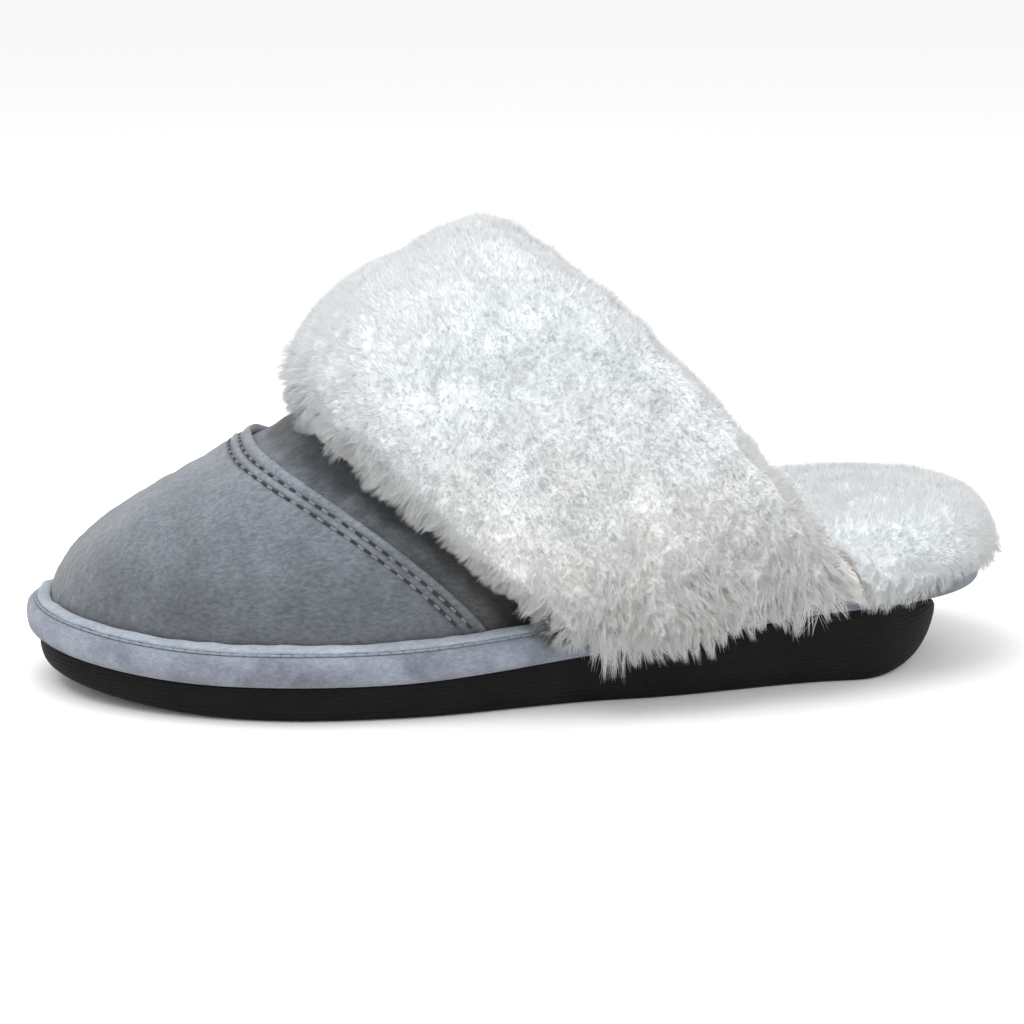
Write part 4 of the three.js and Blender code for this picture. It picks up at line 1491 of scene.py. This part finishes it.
@dataclass
class Upper:
    """The suede vamp and collar with their stitching."""

    form: Form
    shop: Workshop
    thickness: float = 2.0
    seam_lap: float = 14.0
    row_from_edge: float = 3.3
    row_spacing: float = 3.0
    stitch_pitch: float = 4.3
    stitch_length: float = 2.3
    stitch_radius: float = 0.42
    flange_clearance: float = 2.6
    stitch_sink: float = 0.4
    puff: float = 0.25
    edge_roll: float = 0.42
    vamp_relief: Layers = ((0.3, 38, 11), (0.12, 12, 12), (0.05, 3.5, 13))
    collar_relief: Layers = ((0.3, 22, 21), (0.12, 6, 22))
    vamp_grid_size: tuple[int, int] = (160, 200)
    collar_grid_size: tuple[int, int] = (70, 150)

    def build(self) -> None:
        """Makes the vamp, its two rows of stitches and the collar."""
        self.make_vamp()
        rear, front = self.rows
        self.make_stitches("seam_stitches_rear", rear, 0, "vamp_thread_rear")
        self.make_stitches("seam_stitches_front", front, 3, "vamp_thread_front")
        self.make_collar()

    @property
    def rows(self) -> tuple[float, float]:
        """How far in front of the seam the two rows of stitches run."""
        return self.row_from_edge, self.row_from_edge + self.row_spacing

    def vamp_grid(self, depth: float) -> tuple[Array, Array, Array]:
        """A layer from the toe's tip to the seam.

        Args:
            depth: How far it lies under the suede's face.

        Returns:
            Its points, its turns and how far each point is from the seam along x.
        """
        form = self.form
        rows, columns = self.vamp_grid_size
        share, turn = shares(rows), turns(columns)
        share = mix(1 - np.cos(share * QUARTER), share, 0.25)
        share = mix(share, 1 - (1 - share) ** 1.35, 0.7)
        start = form.toe_x + form.feather_inset + depth
        x = mix(start, form.seam_x(turn), share)
        grid = form.arch(x, turn, depth)
        grid[0] = [start, float(form.middle_y(start)), float(form.foot_z(start))]
        return grid, turn, form.seam_x(turn) - x

    def make_vamp(self) -> None:
        """The vamp: its face swells and dips a little, sinks along the stitches and curls up at the seam."""
        face, turn, back = self.vamp_grid(0.0)
        under, _, _ = self.vamp_grid(self.thickness)
        normal = grid_normals(face)
        normal[:2] = normal[2]
        trench = sum(bell(back, row, 0.75) for row in self.rows)
        between = bell(back, sum(self.rows) / 2, 0.8)
        lip = bell(back, 0.9, 0.95)
        swell = relief(face, self.vamp_relief)
        swell += -self.stitch_sink * trench + self.puff * between + self.edge_roll * lip
        swell *= smooth(shares(len(face)), 0, 0.08)
        swell *= smooth(QUARTER - np.abs(turn), 0, 0.12)
        over_edge = face[..., 2] - self.form.foot_z(face[..., 0])
        # Painted shading: painted shade in the stitch trenches and just over the platform, painted highlight
        # on the puff between the rows and on the rolled lip.
        painted_shading = 0.3 * trench - 0.12 * between - 0.2 * lip + 0.18 * smooth(3.5 - over_edge, 0, 3)
        piece = shell(face + normal * swell[..., None], under, painted_shading)
        make_piece("vamp", piece, VAMP_SUEDE.material(self.shop), Slot.UPPER, ("vamp_suede",))

    def make_stitches(self, name: str, from_edge: float, skip: int, node: str) -> None:
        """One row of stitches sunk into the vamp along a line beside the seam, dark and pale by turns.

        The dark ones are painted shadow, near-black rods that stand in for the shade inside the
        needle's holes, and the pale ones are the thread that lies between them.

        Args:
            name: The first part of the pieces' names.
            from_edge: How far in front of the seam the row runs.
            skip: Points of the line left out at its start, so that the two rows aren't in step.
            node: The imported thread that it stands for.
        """
        form = self.form
        turn = np.linspace(-QUARTER * 0.985, QUARTER * 0.985, 700)
        line = form.arch(form.seam_x(turn) - from_edge, turn, 0.1)
        line = line[line[:, 2] > form.foot_z(line[:, 0]) + self.flange_clearance][skip:]
        places, along = resample(line, self.stitch_pitch / 2)
        # Painted shadow: dark rods where the needle's holes lie in shade.
        hole_shadows = capsules(places[::2], along[::2], UP, self.stitch_length, self.stitch_radius)
        thread_size = 0.95 * self.stitch_length, 0.85 * self.stitch_radius
        thread = capsules(places[1::2], along[1::2], UP, *thread_size)
        make_piece(f"{name}_holes", hole_shadows, HOLE_SHADOW.material(self.shop), Slot.THREAD, (node,))
        make_piece(f"{name}_thread", thread, SEAM_THREAD.material(self.shop), Slot.THREAD)

    def make_collar(self) -> None:
        """The collar: the layer under the vamp, from its lap to the edge of the opening."""
        form = self.form
        rows, columns = self.collar_grid_size
        share, turn = shares(rows), turns(columns)
        x = mix(form.seam_x(turn) - self.seam_lap, form.rim_x(turn), share)
        outer = form.arch(x, turn, self.thickness + form.gap)
        inner = form.arch(x, turn, 2 * self.thickness + form.gap)
        normal = grid_normals(outer)
        behind = x - form.seam_x(turn)
        open_air = smooth(behind, 0.5, 4)
        swell = relief(outer, self.collar_relief) * open_air
        # Painted shade: from 0.5 to 8.5 mm behind the seam the collar darkens towards the cuff, whose fleece
        # overhangs it, with a ragged border.
        painted_shading = 0.76 * smooth(behind + relief(outer, ((0.8, 9, 23),)), 0.5, 8.5)
        piece = shell(outer + normal * swell[..., None], inner, painted_shading)
        make_piece("collar", piece, COLLAR_SUEDE.material(self.shop), Slot.UPPER, ("collar_suede",))


def catmull(knots: Array, share: Array) -> Array:
    """A smooth curve through evenly spaced values, by Catmull and Rom's cubic.

    Args:
        knots: The values.
        share: Where to read it, from 0 at the first to 1 at the last.

    Returns:
        The curve's values.
    """
    k = np.concatenate([[2 * knots[0] - knots[1]], knots, [2 * knots[-1] - knots[-2]]])
    at = np.clip(share, 0, 1) * (len(knots) - 1)
    i = np.minimum(at.astype(int), len(knots) - 2)
    t = at - i
    a, b, c, d = (k[i + j] for j in range(4))
    return 0.5 * (2 * b + (c - a) * t + (2 * a - 5 * b + 4 * c - d) * t**2 + (3 * b - a - 3 * c + d) * t**3)


@dataclass
class Cuff:
    """The turned-down fleece cuff and the fleece linings that it runs into."""

    form: Form
    shop: Workshop
    setback: float = 13.0
    hang_x: float = 34.0
    hang: float = 4.4
    hang_reach: float = 22.0
    corner_cut: float = 9.0
    flap: float = 0.13
    side_share: float = 0.76
    lining_lap: float = 14.6
    lining_depth: float = 4.9
    lining_pile: float = 6.0
    lumps: Layers = ((0.5, 19, 31), (0.14, 7, 32))
    lining_relief: Layers = ((0.35, 7, 51), (0.2, 3, 52))
    cuff_grid_size: tuple[int, int] = (110, 240)
    lining_grid_size: tuple[int, int] = (50, 120)
    top_pile: Pile = SHORT_PILE
    fringe: Pile = Pile(
        per_mm2=7.5, length=6.8, width=0.1, tuft=7.0, lock=3.8, gather=0.78, lean=0.22, stray=0.24,
        droop=0.3, straight_share=0.65, roundness=0.1, uneven=0.24,
    )
    lining_nap: Pile = Pile(per_mm2=2.4, length=4.0, width=0.14, tuft=5.0, lean=0.25)
    rim_nap: Pile = Pile(per_mm2=8.0, length=4.4, lean=0.25, stray=0.4)

    # The wool's outside from the cuff's front edge over its back and into the opening: which line each
    # point hangs on (0 the cuff's edge, 1 the rim), how far behind it, how deep under the suede's face.
    SECTION = (
        (0, 5.5, 0.8), (0, 0.2, -1.8), (0, -2.0, -6.5), (0, -1.8, -13.5), (0, 1.4, -19.7), (0, 8.5, -23.8),
        (0, 18.0, -25.4), (0.55, 0.0, -25.0), (1, -6.0, -23.0), (1, 4.0, -19.5), (1, 10.5, -11.5),
        (1, 10.0, -1.5), (1, 5.0, 6.5), (1, -3.0, 11.0),
    )
    # The skin side, back to the front edge: behind the rim and then over the collar.
    SKIN = ((1, -3.0, 11.2), (1, 0.8, 10.6), (1, 1.1, 5.0), (1, 0.8, 0.2), (0.5, 0.0, 0.1), (0, 6.5, 0.3))

    def build(self) -> None:
        """Makes the cuff's body and pile, and the linings."""
        self.make_cuff()
        self.make_linings()
        hide = PlainFinish("cuff_hide", (0.5, 0.44, 0.37), (0.66, 0.6, 0.52), 0.9)
        dress_node("cuff_skin", hide.material(self.shop))
        dress_node("rim_thread", PALE_THREAD.material(self.shop))

    def place(self, line: Array, behind: Array, depth: Array, reach: Array) -> Array:
        """Points of the cuff by line, distance and depth, and by how far round the upper they lie.

        They are points of the upper's arch at that depth. Towards the feet the distance shrinks, the
        wool outside thins, and behind the rim it closes on the lining. Beyond the feet the flap drops
        straight down, furthest at a bell curve's middle.

        Args:
            line: 0 on the cuff's front edge and 1 on the rim.
            behind: How far behind that line.
            depth: How far under the suede's face, so less than 0 in the wool outside.
            reach: 0 at the ridge, 1 at the upper's feet and more in the flap that hangs down.

        Returns:
            Points with x, y, z along the last axis.
        """
        form = self.form
        side = np.abs(reach)
        turn = np.clip(reach, -1, 1) * QUARTER
        edge, rim = form.seam_x(turn) + self.setback, form.rim_x(turn)
        low = smooth(side, 0.45, 1.0)
        # The rim's wool draws in towards its feet, and the skin side closes on the lining there.
        behind = behind * mix(1, 0.55, low * line) - 1.4 * low * line * (depth < 2)
        behind = np.where((depth > 1.5) & (line > 0.9), mix(behind, 1.2, smooth(side, 0.8, 0.9)), behind)
        depth = np.where(depth < 0, depth * mix(1, self.side_share, low), depth)
        # Next to the feet the layer lies outside the platform's edge, so that the flap can pass it.
        clear = -form.feather_inset - 1.0
        depth = mix(depth, np.minimum(depth, clear), smooth(side, 0.9, 0.985))
        x = mix(edge, rim, line) + behind
        x = x + self.corner_cut * smooth(side, 0.84, 1.14) * (1 - np.clip(line, 0, 1))
        points = form.arch(x, turn, depth)
        drop = 0.7 + 0.9 * smooth(x, 30, 70) + self.hang * bell(x, self.hang_x, self.hang_reach)
        points[..., 2] -= np.clip(side - 1, 0, None) / self.flap * drop
        return points

    def make_cuff(self) -> None:
        """The body under the pile, a lumpy closed tube along the upper, and the wool that grows on it.

        The body is the wool's outside, moved in along its normals by most of the pile's length.
        """
        rows, columns = self.cuff_grid_size
        share = shares(rows)
        reach = np.linspace(-1 - self.flap, 1 + self.flap, columns)[None, :]
        line, behind, depth = (catmull(np.array(self.SECTION)[:, i], share) for i in range(3))
        outside = self.place(line, behind, depth, reach)
        normal = grid_normals(outside)
        side = np.abs(reach)
        front = smooth(0.3 - share, 0.0, 0.24)
        low = smooth(side, 0.86, 1.1)
        edge = np.clip(front + low, 0, 1)
        ends = smooth(share, 0.04, 0.2) * smooth(1 - share, 0, 0.1)
        lumps = relief(outside, self.lumps)
        body = outside - normal * ((mix(1.7, 3.2, edge) - lumps) * ends)[..., None]
        knots = np.array(self.SKIN)
        at = np.linspace(0, len(knots) - 1, 26)[1:-1, None]
        skin = self.place(*(np.interp(at, np.arange(len(knots)), knots[:, i]) for i in range(3)), reach)
        sections = np.concatenate([body, skin]).transpose(1, 0, 2)
        undercoat = UNDERCOAT.material(self.shop)
        piece = make_piece("cuff_fleece", tube(sections), undercoat, Slot.WOOL, ("cuff_wool",))
        forward = unit(self.place(0, -4.0, -6.0, reach) - self.place(0, 4.0, -6.0, reach))
        comb = forward * (1.2 * front)[..., None] - 0.5 * UP * low[..., None]
        # No wool grows where the flap's inner face lies against the platform.
        against = smooth(side, 0.93, 0.985) * smooth(depth, -7.0, -5.5)
        inside = smooth(1 - share, 0.03, 0.2) * (1 - against)
        wool = WHITE_WOOL.material(self.shop)
        thick = (0.25 + 0.75 * inside) * (1 - 0.55 * edge)
        grow("cuff_pile", Ground(body, normal, comb, 1 - 0.15 * edge, thick), self.top_pile, wool, seed=40)
        fringed = Ground(body, normal, comb, 0.8 + 0.45 * low, edge * inside)
        grow("cuff_fringe", fringed, self.fringe, wool, seed=50)

    def make_linings(self) -> None:
        """The fleece inside: a shell behind the collar with a short nap, and one in the toe."""
        form = self.form
        wool = LINING_WOOL.material(self.shop)
        rows, columns = self.lining_grid_size
        share, turn = shares(rows), turns(columns)
        x = mix(form.seam_x(turn) - self.lining_lap + 0.6, form.rim_x(turn), share)
        outer = form.arch(x, turn, self.lining_depth)
        inner = form.arch(x, turn, self.lining_depth + self.lining_pile - 1.2)
        normal = -grid_normals(inner)
        inner = inner + normal * relief(inner, self.lining_relief)[..., None]
        make_piece("collar_lining", shell(outer, inner), wool, Slot.WOOL, ("collar_lining_wool",))
        seen = smooth(share, 0.45, 0.8)
        grow("lining_nap", Ground(inner, normal, keep=seen), self.lining_nap, wool, seed=60)
        rim = form.rim_x(turn)
        end = np.stack([form.arch(rim, turn, depth)[0] for depth in (self.lining_depth - 2, 10.0)])
        backwards = np.broadcast_to(unit(outer[-1:] - outer[-3:-2]), end.shape)
        grow("rim_nap", Ground(end, backwards), self.rim_nap, wool, seed=65)
        start = form.toe_x + form.feather_inset
        share = 1 - np.cos(shares(30) * QUARTER)
        grids = []
        for depth in (2.4, 8.0):
            x = mix(start + depth, form.seam_x(turn) - self.lining_lap, share)
            grid = form.arch(x, turn, depth)
            grid[0] = [start + depth, float(form.middle_y(start + depth)), float(form.foot_z(start + depth))]
            grids.append(grid)
        make_piece("toe_lining", shell(*grids), wool, Slot.WOOL, ("toe_lining_wool",))


@dataclass
class Footbed:
    """The fleece that the foot stands on, which spreads over the rand behind the upper."""

    form: Form
    shop: Workshop
    between: float = 18.0
    spread: float = 3.5
    forward: float = 17.0
    pile_toe: float = 7.0
    pile_heel: float = 20.0
    lip: float = 7.0
    lip_end_x: float = 124.0
    rung_points: int = 60
    edge_rings: int = 40
    lumps: Layers = ((0.6, 16, 71), (0.15, 6, 72))
    top_pile: Pile = SHORT_PILE
    fringe: Pile = Pile(
        per_mm2=8.0, length=5.8, width=0.09, tuft=6.0, lock=3.0, gather=0.7, lean=0.2, stray=0.24,
        droop=0.3, straight_share=0.65, roundness=0.1, uneven=0.24,
    )

    # The body's edge from the rand's top, down outside it, and up: how far it is drawn in at the heel,
    # how far it is drawn in between the linings, share of the lip and share of the pile's height.
    EDGE = (
        (3.0, 1.5, 0.0, 0.02), (0.3, 0.6, 0.0, 0.02), (-1.0, 0.2, 0.35, 0.02), (-1.2, 0.0, 0.9, 0.03),
        (-2.2, 0.0, 1.0, 0.05), (-3.0, 0.0, 0.5, 0.12), (-2.6, 0.2, 0.0, 0.24), (-1.6, 0.5, 0.0, 0.4),
        (0.2, 1.4, 0.0, 0.56), (3.2, 3.2, 0.0, 0.71), (7.6, 6.0, 0.0, 0.8), (13.0, 10.0, 0.0, 0.84),
    )

    def lip_drop(self, x: Array, start: float) -> Array:
        """How far the lip hangs over the rand at x, from behind the upper to its end."""
        return self.lip * (1 - smooth(x, start + 8, self.lip_end_x)) * smooth(x, start + 2, start + 10)

    def build(self) -> None:
        """Makes the bed and its pile."""
        form = self.form
        start = form.back_x - form.rim_foot_from_back + form.gap
        up_wall = shares(self.edge_rings)
        columns = [catmull(np.array(self.EDGE)[:, i], up_wall[:, 0]) for i in range(4)]

        def ring_at(heel: float, toe: float, lip: float, high: float) -> Array:
            """One ring of the body's edge.

            Args:
                heel: How far it is drawn in at the heel.
                toe: How far it is drawn in between the linings.
                lip: Its share of the lip.
                high: Its share of the pile's height.

            Returns:
                Points round the footbed.
            """

            def inset(x: Array) -> Array:
                """How far the ring is drawn in at x."""
                begin = start - self.forward * high
                return mix(self.between + toe, heel, smooth(x, begin, begin + self.spread))

            def height(x: Array) -> Array:
                """The ring's height at x."""
                pile = mix(self.pile_toe, self.pile_heel, smooth(x, 0, start))
                return form.bed_top(x) + form.gap + 0.1 + pile * high - lip * self.lip_drop(x, start)

            return form.outline(inset, height, 3)

        rings = np.stack([ring_at(*row) for row in zip(*columns)])
        across = np.arange(self.rung_points)
        lid, floor = rungs(rings[-1], len(across)), rungs(rings[0], len(across))
        inwards = np.minimum(across, across[::-1])[None, :] / 8
        lid[..., 2] += relief(lid, self.lumps) * smooth(inwards)
        body, wool = HEEL_WOOL.material(self.shop), HEEL_WOOL.material(self.shop)
        piece = make_piece("footbed_fleece", slab(rings, floor, lid), body, Slot.WOOL, ("footbed_wool",))
        wall = np.concatenate([rings, rings[:, :1]], 1)
        bare = np.maximum(smooth(wall[..., 0], start - 12, start), 0.5 * (up_wall > 0.55)) * (up_wall > 0.12)
        down = smooth(0.62 - up_wall, 0.0, 0.4)
        normal = grid_normals(wall)
        comb = -0.75 * UP * down[..., None]
        heel = Ground(wall, normal, comb, 1 - 0.2 * down, bare * (1 - 0.5 * down))
        grow("heel_pile", heel, self.top_pile, wool, seed=80)
        grow("heel_fringe", Ground(wall, normal, comb, 0.9, bare * down), self.fringe, wool, seed=85)
        length = mix(0.55, 1.0, smooth(lid[..., 0], 0, start))
        seen = 0.1 + 0.9 * smooth(lid[..., 0], -20, 60)
        bed = Ground(lid, grid_normals(lid), 0.0, length, seen)
        grow("footbed_pile", bed, self.top_pile, wool, seed=90)


# ----------------------------------------------------------------------------------------- finishes


# Each suede's low colour, from high_z down to low_z, is painted shade that darkens it towards the ground;
# the collar's, browner, also paints the shade under the cuff.
VAMP_SUEDE = SuedeFinish(
    "vamp_suede_nap", dark=(0.124, 0.143, 0.167), pale=(0.168, 0.191, 0.222), low=(0.56, 0.55, 0.535),
    low_z=14, high_z=66, grain=0.75,
)
COLLAR_SUEDE = SuedeFinish(
    "collar_suede_nap", dark=(0.115, 0.133, 0.157), pale=(0.172, 0.198, 0.23), low=(0.55, 0.48, 0.42),
    low_z=16, high_z=92, grain=0.75,
)
RAND_SUEDE = SuedeFinish(
    "rand_suede_nap", dark=(0.132, 0.149, 0.194), pale=(0.255, 0.282, 0.345), low=(0.85, 0.8, 0.79),
    low_z=8, high_z=17, cloud_scale=90, grain_scale=1300, bump_strength=0.6,
)
# FLANGE_SUEDE is paler than the rand's suede: partly the flange's own paler tone and partly painted
# highlight for the light that its rounded top catches.
FLANGE_SUEDE = SuedeFinish(
    "flange_suede_nap", dark=(0.24, 0.28, 0.33), pale=(0.34, 0.39, 0.45), low=(0.9, 0.88, 0.88),
    low_z=10, high_z=20, cloud_scale=90, grain_scale=1300, bump_strength=0.6,
)
WHITE_WOOL = WoolFinish(
    "wool_pile", top=(0.865, 0.945, 0.995), low=(0.985, 0.98, 0.965), lock=(0.95, 0.935, 0.91),
    low_z=14, high_z=105,
)
HEEL_WOOL = WoolFinish(
    "heel_wool", top=(0.87, 0.945, 0.99), low=(0.95, 0.955, 0.955), lock=(0.92, 0.91, 0.89),
    low_z=8, high_z=45,
)
# The undercoat is darker than the pile lower down and in its locks: partly creamier wool and partly painted
# shade that gives depth between the tufts.
UNDERCOAT = WoolFinish(
    "wool_undercoat", top=(0.9, 0.95, 0.985), low=(0.94, 0.935, 0.92), lock=(0.86, 0.83, 0.77),
    low_z=14, high_z=105,
)
LINING_WOOL = WoolFinish(
    "wool_lining", top=(0.9, 0.92, 0.94), low=(0.88, 0.88, 0.87), lock=(0.82, 0.8, 0.77),
    low_z=20, high_z=90,
)
# Painted shadow: the near-black finish of the rods that stand in for the shade in the needle's holes.
HOLE_SHADOW = PlainFinish(
    "seam_hole_shadows", dark=(0.012, 0.012, 0.013), pale=(0.035, 0.035, 0.038), roughness=0.8, grain_scale=2500
)
SEAM_THREAD = PlainFinish(
    "seam_thread", dark=(0.12, 0.128, 0.135), pale=(0.22, 0.23, 0.235), roughness=0.8, grain_scale=2500
)
PALE_THREAD = PlainFinish(
    "edge_thread", dark=(0.17, 0.19, 0.225), pale=(0.25, 0.28, 0.325), roughness=0.85, grain_scale=2500
)


# ------------------------------------------------------------------------------------------- studio


@dataclass
class Studio:
    """The camera, the lamps and the floor, in metres."""

    azimuth: float = -8.5
    elevation: float = 14.0
    distance: float = 0.7
    lens: float = 87.9
    target: tuple[float, float, float] = (0.0, 0.0, 0.0436)
    floor_reach: float = 6.0

    def build(self) -> None:
        """Sets up the studio."""
        self.aim_camera()
        self.add_lamp("key", (-0.35, -0.15, 1.1), 0.9, 7.5, (1.0, 1.0, 1.0))
        self.add_lamp("fill", (0.3, -1.3, 0.6), 1.0, 5.5, (1.0, 0.99, 0.975))
        self.lay_floor()
        self.fill_sky()

    def aim_camera(self) -> None:
        """Places the camera on a ray from its target, by azimuth and elevation."""
        a, e = math.radians(self.azimuth), math.radians(self.elevation)
        back = Vector((math.sin(a) * math.cos(e), -math.cos(a) * math.cos(e), math.sin(e)))
        data = bpy.data.cameras.new("camera")
        data.lens, data.sensor_width = self.lens, 36.0
        data.clip_start, data.clip_end = 0.01, 50.0
        camera = bpy.data.objects.new("camera", data)
        camera.location = Vector(self.target) + back * self.distance
        camera.rotation_euler = back.to_track_quat("Z", "Y").to_euler()
        bpy.context.scene.collection.objects.link(camera)
        bpy.context.scene.camera = camera

    def add_lamp(self, name: str, place: tuple, size: float, watts: float, colour: tuple) -> None:
        """A square soft light that faces the slipper.

        Args:
            name: The lamp's name.
            place: Where it hangs, in metres.
            size: Its side, in metres.
            watts: Its power.
            colour: Its linear colour.
        """
        data = bpy.data.lights.new(name, "AREA")
        data.shape, data.size, data.energy, data.color = "SQUARE", size, watts, colour
        lamp = bpy.data.objects.new(name, data)
        lamp.location = place
        lamp.rotation_euler = (Vector(place) - Vector(self.target)).to_track_quat("Z", "Y").to_euler()
        bpy.context.scene.collection.objects.link(lamp)

    def lay_floor(self) -> None:
        """A pale floor under the slipper."""
        far = self.floor_reach
        mesh = bpy.data.meshes.new("floor")
        square = [(-far, -far, 0), (far, -far, 0), (far, far, 0), (-far, far, 0)]
        mesh.from_pydata(square, [], [(0, 1, 2, 3)])
        floor = bpy.data.objects.new("floor", mesh)
        dress = Dresser("floor_paint")
        dress.set(Base_Color=(0.93, 0.93, 0.93, 1), Roughness=0.95, Specular_IOR_Level=0.1)
        mesh.materials.append(dress.material)
        bpy.context.scene.collection.objects.link(floor)

    def fill_sky(self) -> None:
        """Even white light from all round, and plain display of colours."""
        world = bpy.data.worlds.new("world")
        world.use_nodes = True
        sky = world.node_tree.nodes["Background"]
        sky.inputs["Color"].default_value = (1, 1, 1, 1)
        sky.inputs["Strength"].default_value = 1.0
        bpy.context.scene.world = world
        bpy.context.scene.view_settings.view_transform = "Standard"


def main() -> None:
    """Builds the studio and the slipper."""
    logging.basicConfig(level=logging.INFO, format="%(name)s: %(message)s")
    form = Form.from_frame()
    shop = Workshop()
    Studio().build()
    for assembly in (Platform(form, shop), Upper(form, shop), Cuff(form, shop), Footbed(form, shop)):
        assembly.build()


if __name__ == "__main__":
    main()
